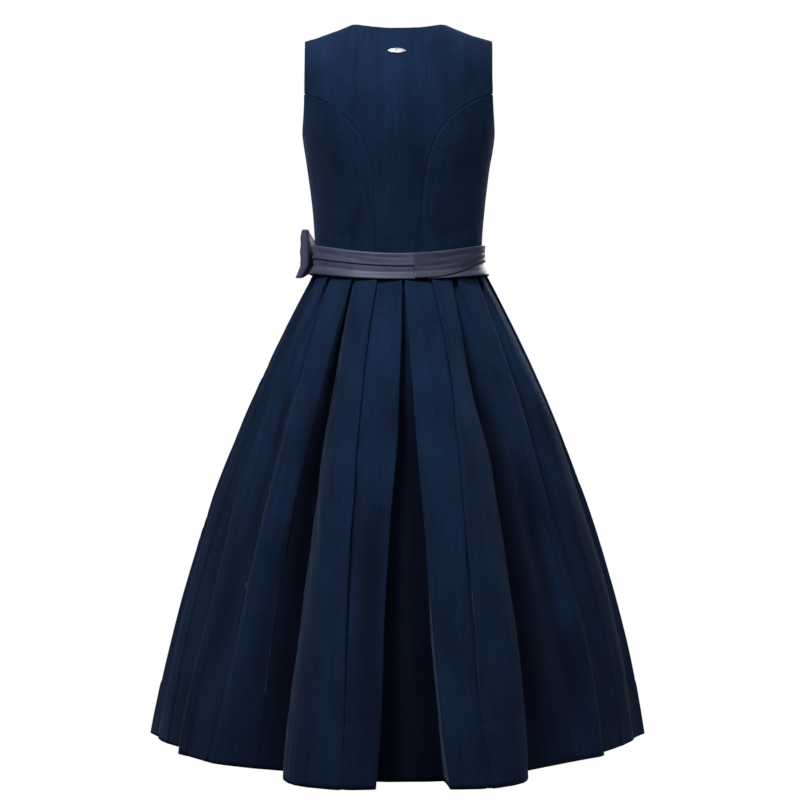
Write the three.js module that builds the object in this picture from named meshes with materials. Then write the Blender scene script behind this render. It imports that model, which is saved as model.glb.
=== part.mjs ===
// A sleeveless dirndl in navy cloth with a tied satin apron, filled out as it is when worn.
// Millimetres, +Z up. The wearer faces -Y, and +X is the wearer's left.
// The origin lies midway between the two shoulder ridges, which carry the dress.
import * as THREE from "three";

// ---- Driving dimensions ----
const NAVY_CLOTH = 1.4; // wall of the bodice and skirt cloth
const SATIN = 1.0; // wall of the apron and its ties
const SEAM_GAP = 0.3; // between neighbouring pieces

const SHOULDER_WIDTH = 302; // across both shoulder points
const NECK_WIDTH = 150; // across both neck points
const NECK_POINT_Z = 13;
const SHOULDER_SLOPE = 27 / 76;
const SHOULDER_SAG = 2.2; // the shoulder line dips this much between neck and arm
const NECK_CORNER = 1.8; // how much its corner at the neck is rounded off
const SHOULDER_ROUND = 62; // how far below its ridge the shoulder reaches full depth
const BACK_NECK_Z = -3;
const FRONT_NECK_Z = -112;
const UNDERARM_Z = -168;
const WAIST_SIDE_Z = -367;
const WAIST_DIP = { back: 17, front: 13 };
const HEM_Z = -1142;
const HEM_FRONT = { width: 402, depth: 302 }; // half sizes of the hem's front ellipse

// The bodice at each height: half its width, and its depth behind and in front of the side seams.
const BODICE = [
  { z: 40, width: 196, back: 44, front: 30 },
  { z: -10, width: 184, back: 66, front: 52 },
  { z: -60, width: 173, back: 88, front: 80 },
  { z: -105, width: 164.5, back: 101, front: 106 },
  { z: -140, width: 158.5, back: 105, front: 119 },
  { z: -175, width: 154, back: 106, front: 126 },
  { z: -215, width: 148, back: 103, front: 126 },
  { z: -257, width: 142, back: 98, front: 119 },
  { z: -300, width: 137.5, back: 94, front: 109 },
  { z: -335, width: 135, back: 92, front: 104 },
  { z: -384, width: 135, back: 92, front: 103 },
  { z: -420, width: 136, back: 93, front: 104 },
];
const BUST = { x: 78, z: -200, proud: 9, wide: 42, tall: 50 };

// A princess seam starts at the armhole and swings in towards its line at the waist.
const BACK_SEAM = { top: -104.5, armhole: 150.5, waist: 34, curve: 51, scoop: 1 };
const FRONT_SEAM = { top: -124, armhole: 146, waist: 58, curve: 60, scoop: 5 };
const CLOSURE_X = 9; // the right front laps this far past the centre

// The pleats of one half of the skirt, from the centre back round to the front.
// crest: angle of the folded edge from the centre back, in degrees, at waist, half way and hem.
// radius: of that edge at the hem (0 takes the hem's front ellipse).
// tuck: how far the inner fold lies behind the edge, half way and at the hem (below 0 it opens).
// drop: depth of the inner fold under the edge, half way and at the hem.
// shoulder: distance from the edge to where the next panel surfaces, half way and at the hem.
// rise: height of that place over the edge, half way and at the hem.
const LEFT_PLEATS = [
  { crest: [-3.3, 2, 4.7], radius: 397, tuck: [10, 6], drop: [38, 50], shoulder: [5, 9], rise: [-40, -53] },
  { crest: [20, 13.6, 12], radius: 408, tuck: [9, -4], drop: [8, 3], shoulder: [3, 12], rise: [-7, -2] },
  { crest: [42, 41, 40], radius: 324, tuck: [-8, -44], drop: [40, 10], shoulder: [64, 92], rise: [30, 76] },
  { crest: [62.7, 62, 66], radius: 358, tuck: [-44, -60], drop: [14, 8], shoulder: [66, 90], rise: [-8, -10] },
  { crest: [80, 83, 83], radius: 370, tuck: [-54, -50], drop: [28, 24], shoulder: [78, 84], rise: [-4, -4] },
  { crest: [98, 98, 97], radius: 410, tuck: [-12, -34], drop: [15, 20], shoulder: [40, 62], rise: [-8, -24] },
  { crest: [117, 114, 114], radius: 0, tuck: [-14, -40], drop: [16, 16], shoulder: [40, 74], rise: [-6, 2] },
  { crest: [137, 131, 132], radius: 0, tuck: [-14, -40], drop: [14, 14], shoulder: [40, 74], rise: [-4, 12] },
];
const RIGHT_PLEATS = [
  { crest: [6.2, 7.2, 10.6], radius: 402, tuck: [10, 6], drop: [38, 54], shoulder: [6, 22], rise: [-40, -58] },
  { crest: [30.8, 19.8, 19], radius: 412, tuck: [6, -4], drop: [8, 3], shoulder: [4, 12], rise: [-7, -2] },
  { crest: [50.6, 60, 61], radius: 340, tuck: [-94, -162], drop: [40, 14], shoulder: [114, 190], rise: [16, 56] },
  { crest: [74.5, 78, 80], radius: 362, tuck: [-54, -70], drop: [34, 24], shoulder: [68, 92], rise: [-6, -12] },
  { crest: [89, 94, 96], radius: 406, tuck: [-12, -36], drop: [18, 22], shoulder: [38, 66], rise: [-8, -28] },
  { crest: [107, 110, 112], radius: 0, tuck: [-14, -36], drop: [15, 14], shoulder: [36, 64], rise: [-6, -2] },
  { crest: [126, 124, 126], radius: 0, tuck: [-12, -36], drop: [15, 14], shoulder: [38, 66], rise: [-5, 10] },
  { crest: [146, 139, 141], radius: 0, tuck: [-12, -36], drop: [14, 14], shoulder: [38, 66], rise: [-3, 10] },
];
// Angles at waist and hem of the flat centre front, between the last pleats.
const FRONT_PANEL = [
  { waist: 152, hem: 148 },
  { waist: 166, hem: 164 },
  { waist: 180, hem: 180 },
  { waist: 193, hem: 196 },
  { waist: 204, hem: 208 },
];
const WAIST_TUCK = 13; // depth of each pleat at the waist seam
const WAIST_LAYER = 3; // between the layers of a folded pleat
const PLEAT_LEVELS = [0, 0.025, 0.07, 0.15, 0.26, 0.39, 0.53, 0.68, 0.84, 1];

// Apron and ties
const APRON = { waist: [113, 247], hem: [122, 238], bottom: -1088, gathers: 12, clear: 1.7 };
const SASH = { topSide: -344, topDip: 19, bottomSide: -390, bottomDip: 14, clear: 3 };
const LAP_ANGLE = -10; // where the wide right tie ends, over the left one
const BOW = { angle: 120, z: -357, stand: 12.4, length: 64, height: 79, inside: 8.2, outside: 13 };

const NAVY = { color: 0x14223b, roughness: 0.9, metalness: 0 };
const MAUVE = { color: 0x585d78, roughness: 0.45, metalness: 0 };
const METAL = { color: 0xb9bcc2, roughness: 0.35, metalness: 1 };

const model = new THREE.Group();

// ---- Small maths ----
const degrees = (angle) => (angle * Math.PI) / 180;
const mix = (a, b, t) => a + (b - a) * t;
const range = (count, make) => Array.from({ length: count }, (_, k) => make(k));

// The value of one column of a table at a height, on a smooth curve through its rows.
function profile(rows, column, z) {
  let k = 0;
  while (k < rows.length - 2 && z < rows[k + 1].z) k += 1;
  const row = (i) => rows[Math.min(Math.max(i, 0), rows.length - 1)];
  const slope = (i) => (row(i + 1)[column] - row(i - 1)[column]) / (row(i + 1).z - row(i - 1).z);
  const span = row(k + 1).z - row(k).z;
  const t = (z - row(k).z) / span;
  const t2 = t * t;
  const t3 = t2 * t;
  return (
    (2 * t3 - 3 * t2 + 1) * row(k)[column] +
    (t3 - 2 * t2 + t) * span * slope(k) +
    (3 * t2 - 2 * t3) * row(k + 1)[column] +
    (t3 - t2) * span * slope(k + 1)
  );
}

// A parabola through its values at 0, 1/2 and 1.
function through([start, middle, end], t) {
  return start * (2 * t - 1) * (t - 1) + middle * 4 * t * (1 - t) + end * t * (2 * t - 1);
}

// ---- Cloth walls ----
// A closed wall of the given thickness, half of it each side of a grid of points.
// Where two facets meet at a fold, the offset is lengthened so that both keep the full thickness.
function wall(grid, thickness) {
  const rows = grid.length;
  const columns = grid[0].length;
  const at = (i, j) => grid[Math.min(Math.max(i, 0), rows - 1)][Math.min(Math.max(j, 0), columns - 1)];
  const positions = [];
  const offset = new THREE.Vector3();
  for (let side = 1; side >= -1; side -= 2) {
    for (let i = 0; i < rows; i += 1) {
      for (let j = 0; j < columns; j += 1) {
        const down = new THREE.Vector3().subVectors(at(i + 1, j), at(i - 1, j));
        const before = new THREE.Vector3().subVectors(at(i, j), at(i, Math.max(j - 1, 0)));
        const after = new THREE.Vector3().subVectors(at(i, Math.min(j + 1, columns - 1)), at(i, j));
        if (j === 0) before.copy(after);
        if (j === columns - 1) after.copy(before);
        before.cross(down).normalize();
        after.cross(down).normalize();
        offset.addVectors(before, after).normalize();
        const miter = Math.min(1 / Math.max(offset.dot(after), 0.5), 1.5);
        offset.multiplyScalar((side * miter * thickness) / 2).add(at(i, j));
        positions.push(offset.x, offset.y, offset.z);
      }
    }
  }
  const faces = [];
  const vertex = (side, i, j) => side * rows * columns + i * columns + j;
  const quad = (a, b, c, d) => faces.push(a, b, c, a, c, d);
  for (let i = 0; i < rows - 1; i += 1) {
    for (let j = 0; j < columns - 1; j += 1) {
      quad(vertex(0, i, j), vertex(0, i, j + 1), vertex(0, i + 1, j + 1), vertex(0, i + 1, j));
      quad(vertex(1, i, j), vertex(1, i + 1, j), vertex(1, i + 1, j + 1), vertex(1, i, j + 1));
    }
    const right = columns - 1;
    quad(vertex(0, i, 0), vertex(0, i + 1, 0), vertex(1, i + 1, 0), vertex(1, i, 0));
    quad(vertex(0, i, right), vertex(1, i, right), vertex(1, i + 1, right), vertex(0, i + 1, right));
  }
  for (let j = 0; j < columns - 1; j += 1) {
    const bottom = rows - 1;
    quad(vertex(0, 0, j), vertex(1, 0, j), vertex(1, 0, j + 1), vertex(0, 0, j + 1));
    quad(vertex(0, bottom, j), vertex(0, bottom, j + 1), vertex(1, bottom, j + 1), vertex(1, bottom, j));
  }
  return outward(positions, faces);
}

// The geometry of a closed body, with its faces turned to point outwards.
function outward(positions, faces) {
  const corner = (index) => new THREE.Vector3().fromArray(positions, index * 3);
  let volume = 0;
  for (let f = 0; f < faces.length; f += 3) {
    volume += corner(faces[f]).dot(corner(faces[f + 1]).cross(corner(faces[f + 2])));
  }
  if (volume < 0) faces.reverse();
  const geometry = new THREE.BufferGeometry();
  geometry.setAttribute("position", new THREE.Float32BufferAttribute(positions, 3));
  geometry.setIndex(faces);
  return geometry;
}

function add(name, geometry, look) {
  const mesh = new THREE.Mesh(geometry, new THREE.MeshStandardMaterial(look));
  mesh.name = name;
  model.add(mesh);
  return mesh;
}

// ---- Bodice ----
const halfWidth = (z) => profile(BODICE, "width", z);
const ridge = (x) => {
  const out = Math.abs(x) - NECK_WIDTH / 2;
  const along = Math.min(Math.max((2 * out) / (SHOULDER_WIDTH - NECK_WIDTH), 0), 1);
  return NECK_POINT_Z - out * SHOULDER_SLOPE - SHOULDER_SAG * Math.sin(Math.PI * along);
};
const angleAt = (x, z) => Math.asin(Math.min(Math.max(x / halfWidth(z), -1), 1));

// A point of the bodice: angle from the centre back round to the wearer's left, and height.
function torso(angle, z) {
  const x = halfWidth(z) * Math.sin(angle);
  const below = Math.min((ridge(x) - z) / SHOULDER_ROUND, 1);
  const rounding = Math.sqrt(Math.max(1 - (1 - below) ** 2, 0));
  if (Math.cos(angle) >= 0) {
    return new THREE.Vector3(x, profile(BODICE, "back", z) * Math.cos(angle) * rounding, z);
  }
  const across = ((Math.abs(x) - BUST.x) / BUST.wide) ** 2;
  const along = ((z - BUST.z) / BUST.tall) ** 2;
  const bust = BUST.proud * Math.exp(-across - along) * -Math.cos(angle);
  return new THREE.Vector3(x, profile(BODICE, "front", z) * Math.cos(angle) * rounding - bust, z);
}

// A point given by its distance from the centre line instead, on the back (1) or the front (-1).
function torsoAt(x, z, side) {
  const angle = angleAt(x, z);
  return torso(side > 0 ? angle : Math.PI - angle, z);
}

function waistZ(angle) {
  const dip = Math.cos(angle) >= 0 ? WAIST_DIP.back : WAIST_DIP.front;
  return WAIST_SIDE_Z - dip * Math.cos(angle) ** 2;
}

// How far down each row of a panel lies, between the top of its seam and the waist.
const TOP_TURNS = [0.7, 16, 34, 56, 90]; // rows round the shoulder, in degrees
const LOWER_ROWS = [0.006, 0.04, 0.09, 0.15, 0.21, 0.27, 0.38, 0.52, 0.64, 0.8, 1];
const SEAM_SHIFT = 0.45; // sideways, each way from a seam's line, which runs aslant under the armhole

const seamX = (seam, z) =>
  seam.waist + (seam.armhole - seam.waist) * Math.exp(-Math.max(seam.top - z, 0) / seam.curve);

// The height of a row between a seam's top and the waist, at a place given by its angle.
const rowZ = (seam, part, angle) => mix(seam.top, waistZ(angle) + SEAM_GAP, part);
const levelZ = (seam, part) => mix(seam.top, WAIST_SIDE_Z - WAIST_DIP.back, part);
const seamRowX = (seam, part) => seamX(seam, levelZ(seam, part));

// A point of a row, given by its distance from the centre line.
function rowPoint(seam, part, x, side) {
  const angle = angleAt(x, levelZ(seam, part));
  return torsoAt(x, rowZ(seam, part, side > 0 ? angle : Math.PI - angle), side);
}

// The panel with the shoulders, cut by the neck, the armholes, a princess seam and the waist.
// columns are distances from the centre at the shoulder line.
function shoulderPanel(columns, seam, neckZ, side) {
  const edge = SHOULDER_WIDTH / 2;
  const neck = NECK_WIDTH / 2;
  const turn = (x, degreesDown) => {
    const drop = SHOULDER_ROUND * (1 - Math.cos(degrees(degreesDown)));
    return drop / (ridge(Math.max(Math.abs(x), neck)) - seam.top);
  };
  const topRows = [...TOP_TURNS.map((angle) => (x) => turn(x, angle))];
  topRows.push((x) => mix(turn(x, 90), 1, 0.5));
  topRows.push(() => 1);
  const grid = topRows.map((part) =>
    columns.map((x) => {
      const corner = NECK_CORNER * Math.exp(-(((Math.abs(x) - neck) / 6) ** 2));
      const top = (Math.abs(x) < neck ? neckZ(x) : ridge(x)) - corner;
      const z = mix(top, seam.top, part(x));
      const scoop = 1 - ((edge - seam.armhole) / edge) * part(x);
      const curve = (seam.scoop * Math.sin(Math.PI * part(x))) / edge;
      return torsoAt(x * (scoop - curve), z, side);
    }),
  );
  for (const part of LOWER_ROWS) {
    const reach = seamRowX(seam, part) - SEAM_SHIFT;
    grid.push(
      columns.map((x) => {
        const fixed = side < 0 && Math.abs(x) <= CLOSURE_X;
        return rowPoint(seam, part, fixed ? x : (x / edge) * reach, side);
      }),
    );
  }
  return grid;
}

// The panel between a princess seam and the side seam, cut by the lower armhole and the waist.
function sidePanel(seam, side, hand) {
  const columns = 6;
  return LOWER_ROWS.map((part) => {
    const level = mix(seam.top, WAIST_SIDE_Z, part);
    const edge = rowPoint(seam, part, seamRowX(seam, part) + SEAM_SHIFT, side);
    const inner = angleAt(edge.x, edge.z);
    const start = angleAt(seam.armhole, seam.top);
    const sideEdge = Math.PI / 2 - SEAM_GAP / halfWidth(level);
    const depth = Math.min((seam.top - level) / (seam.top - UNDERARM_Z), 1);
    const armhole = mix(start, sideEdge, mix(1 - Math.sqrt(1 - depth * depth), depth, 0.45));
    return range(columns, (k) => {
      const angle = mix(inner, armhole, k / (columns - 1));
      const round = side > 0 ? angle : Math.PI - angle;
      return torso(hand * round, rowZ(seam, part, round));
    });
  });
}

const backNeck = (x) => BACK_NECK_Z + (NECK_POINT_Z - BACK_NECK_Z) * (Math.abs(x) / (NECK_WIDTH / 2)) ** 2.2;
const frontNeck = (x) => FRONT_NECK_Z + (NECK_POINT_Z - FRONT_NECK_Z) * (Math.abs(x) / (NECK_WIDTH / 2)) ** 4;

const halfColumns = [0, 26, 52, 75, 102, 127, 151];
const backColumns = [...halfColumns.slice(1).map((x) => -x).reverse(), ...halfColumns];
add("back_centre", wall(shoulderPanel(backColumns, BACK_SEAM, backNeck, 1), NAVY_CLOTH), NAVY);

const frontColumns = [27, 44, 57, 66, 72, 75, 102, 127, 151];
const leftColumns = [CLOSURE_X, ...frontColumns];
const rightColumns = [CLOSURE_X - SEAM_GAP, 0, -12, ...frontColumns.map((x) => -x)];
const rightFront = shoulderPanel(rightColumns, FRONT_SEAM, frontNeck, -1);
add("front_left", wall(shoulderPanel(leftColumns, FRONT_SEAM, frontNeck, -1), NAVY_CLOTH), NAVY);
add("front_right", wall(rightFront, NAVY_CLOTH), NAVY);

for (const [hand, name] of [[1, "left"], [-1, "right"]]) {
  add(`back_side_${name}`, wall(sidePanel(BACK_SEAM, 1, hand), NAVY_CLOTH), NAVY);
  add(`front_side_${name}`, wall(sidePanel(FRONT_SEAM, -1, hand), NAVY_CLOTH), NAVY);
}

// ---- Skirt ----
const waistDepth = (angle) => profile(BODICE, Math.cos(angle) >= 0 ? "back" : "front", WAIST_SIDE_Z);
const waistRadius = (angle) =>
  1 / Math.hypot(Math.sin(angle) / halfWidth(WAIST_SIDE_Z), Math.cos(angle) / waistDepth(angle));
const frontHemRadius = (angle) =>
  1 / Math.hypot(Math.sin(angle) / HEM_FRONT.width, Math.cos(angle) / HEM_FRONT.depth);

// The skirt widens fastest just under the waist and more slowly towards the hem.
function flare(t) {
  const u = Math.max(0, (t - 0.012) / 0.988);
  return 1.55 * u - 0.55 * u * u;
}

// The corners of one pleat at a level t (0 waist, 1 hem), from its shoulder to its folded edge.
function pleatCorners(pleat, hand, t) {
  const edge = degrees(through(pleat.crest, t));
  const hemEdge = degrees(pleat.crest[2]);
  const waist = waistRadius(degrees(pleat.crest[0]));
  const hem = pleat.radius || frontHemRadius(hemEdge);
  const radius = mix(waist, hem, flare(t));
  const along = (start, values) => through([start, ...values], t);
  const tuck = along(WAIST_TUCK, pleat.tuck);
  const shoulder = along(1.5, pleat.shoulder);
  const rise = along(-2.2 * WAIST_LAYER, pleat.rise);
  const drop = along(1.9 * WAIST_LAYER, pleat.drop);
  // A fold that has opened out by the hem has no layers left there.
  const layer = mix(WAIST_LAYER, pleat.tuck[1] < -10 ? 1.2 : 6, t);
  const place = (distance, height) => ({ angle: hand * (edge + distance / radius), radius: radius + height });
  return [
    place(-shoulder, rise),
    place(tuck - 0.3 * layer, -drop - layer),
    place(tuck, -drop),
    place(0, -layer),
    place(0, 0),
  ];
}

function skirtPoint({ angle, radius }, t) {
  const x = radius * Math.sin(angle);
  const y = radius * Math.cos(angle);
  const round = Math.atan2(Math.sin(angle) / halfWidth(WAIST_SIDE_Z), Math.cos(angle) / waistDepth(angle));
  const z = mix(waistZ(round) - SEAM_GAP, HEM_Z, t);
  return new THREE.Vector3(x, y, z);
}

const flatCorners = (t) =>
  FRONT_PANEL.map(({ waist, hem }) => {
    const radius = mix(waistRadius(degrees(waist)), frontHemRadius(degrees(hem)), flare(t));
    return { angle: degrees(mix(waist, hem, t)), radius };
  });

// All the corners round the skirt at one level, from the centre back over the wearer's left.
function skirtCorners(t) {
  const left = LEFT_PLEATS.flatMap((pleat) => pleatCorners(pleat, 1, t));
  const right = RIGHT_PLEATS.flatMap((pleat) => pleatCorners(pleat, -1, t));
  const around = right.map(({ angle, radius }) => ({ angle: angle + 2 * Math.PI, radius }));
  return [...left, ...flatCorners(t), ...around.reverse()];
}

// Cuts each corner of an open row of points, so that folds are rounded.
function rounded(points, reach) {
  const smooth = [points[0]];
  for (let k = 1; k < points.length - 1; k += 1) {
    for (const other of [points[k - 1], points[k + 1]]) {
      const step = new THREE.Vector3().subVectors(other, points[k]);
      const cut = Math.min(reach(k - 1), 0.3 * step.length());
      smooth.push(step.setLength(cut).add(points[k]));
    }
  }
  smooth.push(points[points.length - 1]);
  return smooth;
}

// Each side seam runs down a panel, this many pleats from the centre back.
const SEAM_AFTER = { left: 6, right: 5 };
const CORNERS_PER_PLEAT = 5;
const CRISP_PLEATS = 2; // on each side of the centre back; the others open into soft folds
const cornerCount = skirtCorners(0).length;
const leftSeam = SEAM_AFTER.left * CORNERS_PER_PLEAT; // index of the corner in front of the seam
const rightSeam = cornerCount - SEAM_AFTER.right * CORNERS_PER_PLEAT;

// A row of the skirt between two seams, which lie half way along their panels.
function skirtRow(t, from, to) {
  const corners = skirtCorners(t).map((corner) => skirtPoint(corner, t));
  const count = corners.length;
  const corner = (k) => corners[((k % count) + count) % count];
  const seam = (k, away) => {
    const middle = new THREE.Vector3().addVectors(corner(k - 1), corner(k)).multiplyScalar(0.5);
    const gap = new THREE.Vector3().subVectors(corner(away), middle).setLength(SEAM_GAP / 2);
    return middle.add(gap);
  };
  const inside = range(to - from, (k) => corner(from + k));
  return rounded([seam(from, from), ...inside, seam(to, to - 1)], (k) => {
    const place = (((from + k) % count) + count) % count;
    const crisp = Math.min(place, count - 1 - place) < CRISP_PLEATS * CORNERS_PER_PLEAT;
    return mix(1.4, crisp ? 6 : 24, t);
  });
}

const skirtGrid = (from, to) => PLEAT_LEVELS.map((t) => skirtRow(t, from, to));
add("skirt_back", wall(skirtGrid(rightSeam - cornerCount, leftSeam), NAVY_CLOTH), NAVY);
add("skirt_front", wall(skirtGrid(leftSeam, rightSeam), NAVY_CLOTH), NAVY);

// ---- Apron ----
// The radius of the skirt's outermost points at an angle on the front.
function envelope(angle, t) {
  const leftCorners = LEFT_PLEATS.length * CORNERS_PER_PLEAT;
  const corners = skirtCorners(t).filter((_, k) => k % CORNERS_PER_PLEAT === 4 || k >= leftCorners);
  const outer = [...corners].sort((a, b) => a.angle - b.angle);
  const next = outer.findIndex((corner) => corner.angle > angle);
  const [a, b] = [outer[next - 1], outer[next]];
  const hull = mix(a.radius, b.radius, (angle - a.angle) / (b.angle - a.angle));
  return Math.max(hull, mix(waistRadius(angle), frontHemRadius(angle), flare(t)));
}

// A point of a layer that hangs over the skirt's front, moved out from the skirt's own points.
function overSkirt(angle, z, out) {
  const base = skirtPoint({ angle, radius: 1 }, 0).z;
  const t = Math.max((z - base) / (HEM_Z - base), 0);
  const radius = envelope(angle, t) + out;
  return new THREE.Vector3(radius * Math.sin(angle), radius * Math.cos(angle), z);
}

const apronTop = -404;
const apronColumns = APRON.gathers * 4 + 1;
const apronGrid = [0, 0.06, 0.16, 0.32, 0.54, 0.78, 1].map((t) =>
  range(apronColumns, (k) => {
    const across = k / (apronColumns - 1);
    const top = mix(APRON.waist[0], APRON.waist[1], across);
    const bottom = mix(APRON.hem[0], APRON.hem[1], across);
    const wave = 0.5 - 0.5 * Math.cos(2 * Math.PI * APRON.gathers * across);
    const uneven = 0.75 + 0.25 * Math.sin(9 * across + 1);
    const height = mix(2.4, 12, Math.sqrt(t)) * wave * uneven;
    const out = mix(APRON.clear, 10, t) + height;
    return overSkirt(degrees(mix(top, bottom, t)), mix(apronTop, APRON.bottom, t), out);
  }),
);
add("apron", wall(apronGrid, SATIN), MAUVE);

// ---- Ties laid round the waist ----
const bandZ = (side, dip, angle) => side - dip * Math.cos(angle) ** 2;

// A point of a band at the waist: over the bodice above the seam and the skirt below it.
function bandPoint(angle, z, out) {
  const seam = waistZ(angle);
  const body = torso(angle, Math.max(z, seam));
  const t = Math.max((seam - z) / (seam - HEM_Z), 0);
  const radius = Math.hypot(body.x, body.y);
  const scale = (radius + 275 * flare(t) + out) / radius;
  return new THREE.Vector3(body.x * scale, body.y * scale, z);
}

// rows: each row of the band's width, from 0 at its top edge to 1 at its bottom, and how far out.
// slant moves a row down along the band, and narrow draws the whole band up to its top edge.
function band(from, to, columns, rows, narrow = () => 1) {
  return rows.map(({ at, out, slant = 0 }) =>
    range(columns, (k) => {
      const across = k / (columns - 1);
      const angle = degrees(mix(from, to, across));
      const top = bandZ(SASH.topSide, SASH.topDip, angle);
      const bottom = bandZ(SASH.bottomSide, SASH.bottomDip, angle);
      const down = (at + slant * across) * narrow(across);
      return bandPoint(angle, mix(top, bottom, down), SASH.clear + out);
    }),
  );
}

const foldedBand = [
  { at: 0, out: 0.4 },
  { at: 0.2, out: 0.9 },
  { at: 0.42, out: 0.9 },
  { at: 0.5, out: 0.6, slant: -0.06 },
  { at: 0.56, out: 0.1, slant: -0.06 },
  { at: 0.8, out: 0.4 },
  { at: 1, out: 0.3 },
];
const flatBand = [
  { at: 0, out: 2.4 },
  { at: 0.25, out: 2.6 },
  { at: 0.5, out: 2.6 },
  { at: 0.75, out: 2.7 },
  { at: 0.97, out: 2.6 },
];
const underBand = [
  { at: 0.3, out: -0.1 },
  { at: 0.62, out: 0 },
  { at: 0.83, out: 0.2 },
  { at: 1.02, out: 0.2, slant: 0.03 },
];
add("sash_left", wall(band(LAP_ANGLE - 5, 107, 20, foldedBand), SATIN), MAUVE);
// The right tie's lower edge is drawn up towards the side, and shows the layer under it.
const drawnUp = (across) => 1 - 0.42 * THREE.MathUtils.smoothstep(across, 0.08, 0.72);
add("sash_right", wall(band(LAP_ANGLE, -111.6, 18, flatBand, drawnUp), SATIN), MAUVE);
add("sash_under_right", wall(band(LAP_ANGLE - 8, -111.2, 16, underBand), SATIN), MAUVE);
add("sash_front", wall(band(107.4, 247.9, 22, flatBand), SATIN), MAUVE);

// ---- Bow ----
// A point of the bow: along the waist from its knot, out from the ties' own layer, and up.
const bowMiddle = bandPoint(degrees(BOW.angle), BOW.z, SASH.clear + BOW.stand);
const bowRadius = Math.hypot(bowMiddle.x, bowMiddle.y);
const bowPoint = (along, out, up) =>
  bandPoint(degrees(BOW.angle) - along / bowRadius, BOW.z + up, SASH.clear + BOW.stand + out);

const KNOT = { half: 13, depth: 6.6, tall: 22, stand: -2.4 };

// One loop: a ribbon that runs out from the knot, turns at its end and comes back.
function bowLoop(hand, length) {
  const steps = 15;
  const across = [-1, -0.75, -0.3, 0.3, 0.75, 1];
  return across.map((edge) =>
    range(steps, (k) => {
      const turn = k / (steps - 1);
      const reach = Math.sin(Math.PI * turn);
      const along = KNOT.half + 0.4 + length * reach ** 0.8;
      const facing = -Math.cos(Math.PI * turn);
      const side = Math.sign(facing) * Math.abs(facing) ** 0.5;
      const bulge = side < 0 ? BOW.inside : BOW.outside - 10 * edge ** 4;
      const out = side * mix(1.6, bulge, reach ** 0.5);
      const half = mix(14, BOW.height / 2, reach ** 0.4);
      return bowPoint(hand * along, out, edge * half);
    }),
  );
}
add("bow_loop_back", wall(bowLoop(1, BOW.length), SATIN), MAUVE);
add("bow_loop_front", wall(bowLoop(-1, BOW.length), SATIN), MAUVE);

// The knot is a band wound round the middle, as a rounded pad.
const knotGeometry = new THREE.SphereGeometry(1, 14, 10);
const knotPositions = knotGeometry.getAttribute("position");
for (let k = 0; k < knotPositions.count; k += 1) {
  const square = (value) => Math.sign(value) * Math.abs(value) ** 0.65;
  const [x, y, z] = [knotPositions.getX(k), knotPositions.getY(k), knotPositions.getZ(k)];
  const point = bowPoint(-square(x) * KNOT.half, KNOT.stand + square(y) * KNOT.depth, square(z) * KNOT.tall);
  knotPositions.setXYZ(k, point.x, point.y, point.z);
}
add("bow_knot", knotGeometry, MAUVE);

// The two loose ends hang from under the knot, over the apron.
const TAILS = [
  { name: "bow_tail_1", angle: 113.5, lean: 7, length: 330, out: 3.4 },
  { name: "bow_tail_2", angle: 123, lean: 10, length: 365, out: 3.4 },
];
for (const { name, angle, lean, length, out } of TAILS) {
  const top = -384;
  const grid = [0, 0.06, 0.16, 0.3, 0.48, 0.66, 0.84, 1].map((t) =>
    range(5, (k) => {
      const across = (k - 2) / 4;
      const z = top - length * t;
      const place = degrees(angle + lean * t);
      const radius = bandPoint(place, z, 0).length();
      const width = mix(17, 46, Math.min(3 * t, 1));
      const local = place + (across * width) / Math.max(Math.min(radius, 260), 120);
      const lift = mix(SASH.clear + out + 1, 26, Math.min(2.4 * t, 1)) + 2.5 * Math.sin(9 * t) * t;
      return z > apronTop ? bandPoint(local, z, lift) : overSkirt(local, z, lift);
    }),
  );
  add(name, wall(grid, SATIN), MAUVE);
}

// ---- Metal ----
const outer = (x, z, side, out) => {
  const point = torsoAt(x, z, side);
  const right = torsoAt(x + 1, z, side).sub(torsoAt(x - 1, z, side));
  const up = torsoAt(x, z + 1, side).sub(torsoAt(x, z - 1, side));
  const normal = right.cross(up).normalize().multiplyScalar(-side);
  return { point: point.addScaledVector(normal, NAVY_CLOTH / 2 + out), normal };
};

const BUTTON = { count: 6, first: -128, last: -338, radius: 7.5, height: 3.4, clear: 0.45 };
const centreFront = rightFront.map((row) => row[rightColumns.indexOf(0)]);
for (let k = 0; k < BUTTON.count; k += 1) {
  const z = mix(BUTTON.first, BUTTON.last, k / (BUTTON.count - 1));
  const section = [[0, 0], [0.8, 0], [1, 0.25], [0.96, 0.5], [0.6, 0.85], [0, 1]];
  const outline = section.map(([r, h]) => new THREE.Vector2(r * BUTTON.radius, h * BUTTON.height));
  const button = add(`button_${k + 1}`, new THREE.LatheGeometry(outline, 14), METAL);
  const below = centreFront.findIndex((point) => point.z < z);
  const [a, b] = [centreFront[below - 1], centreFront[below]];
  const normal = new THREE.Vector3(0, b.z - a.z, a.y - b.y).normalize();
  button.position.lerpVectors(a, b, (a.z - z) / (a.z - b.z));
  button.position.addScaledVector(normal, NAVY_CLOTH / 2 + BUTTON.clear);
  button.quaternion.setFromUnitVectors(new THREE.Vector3(0, 1, 0), normal);
}

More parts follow.
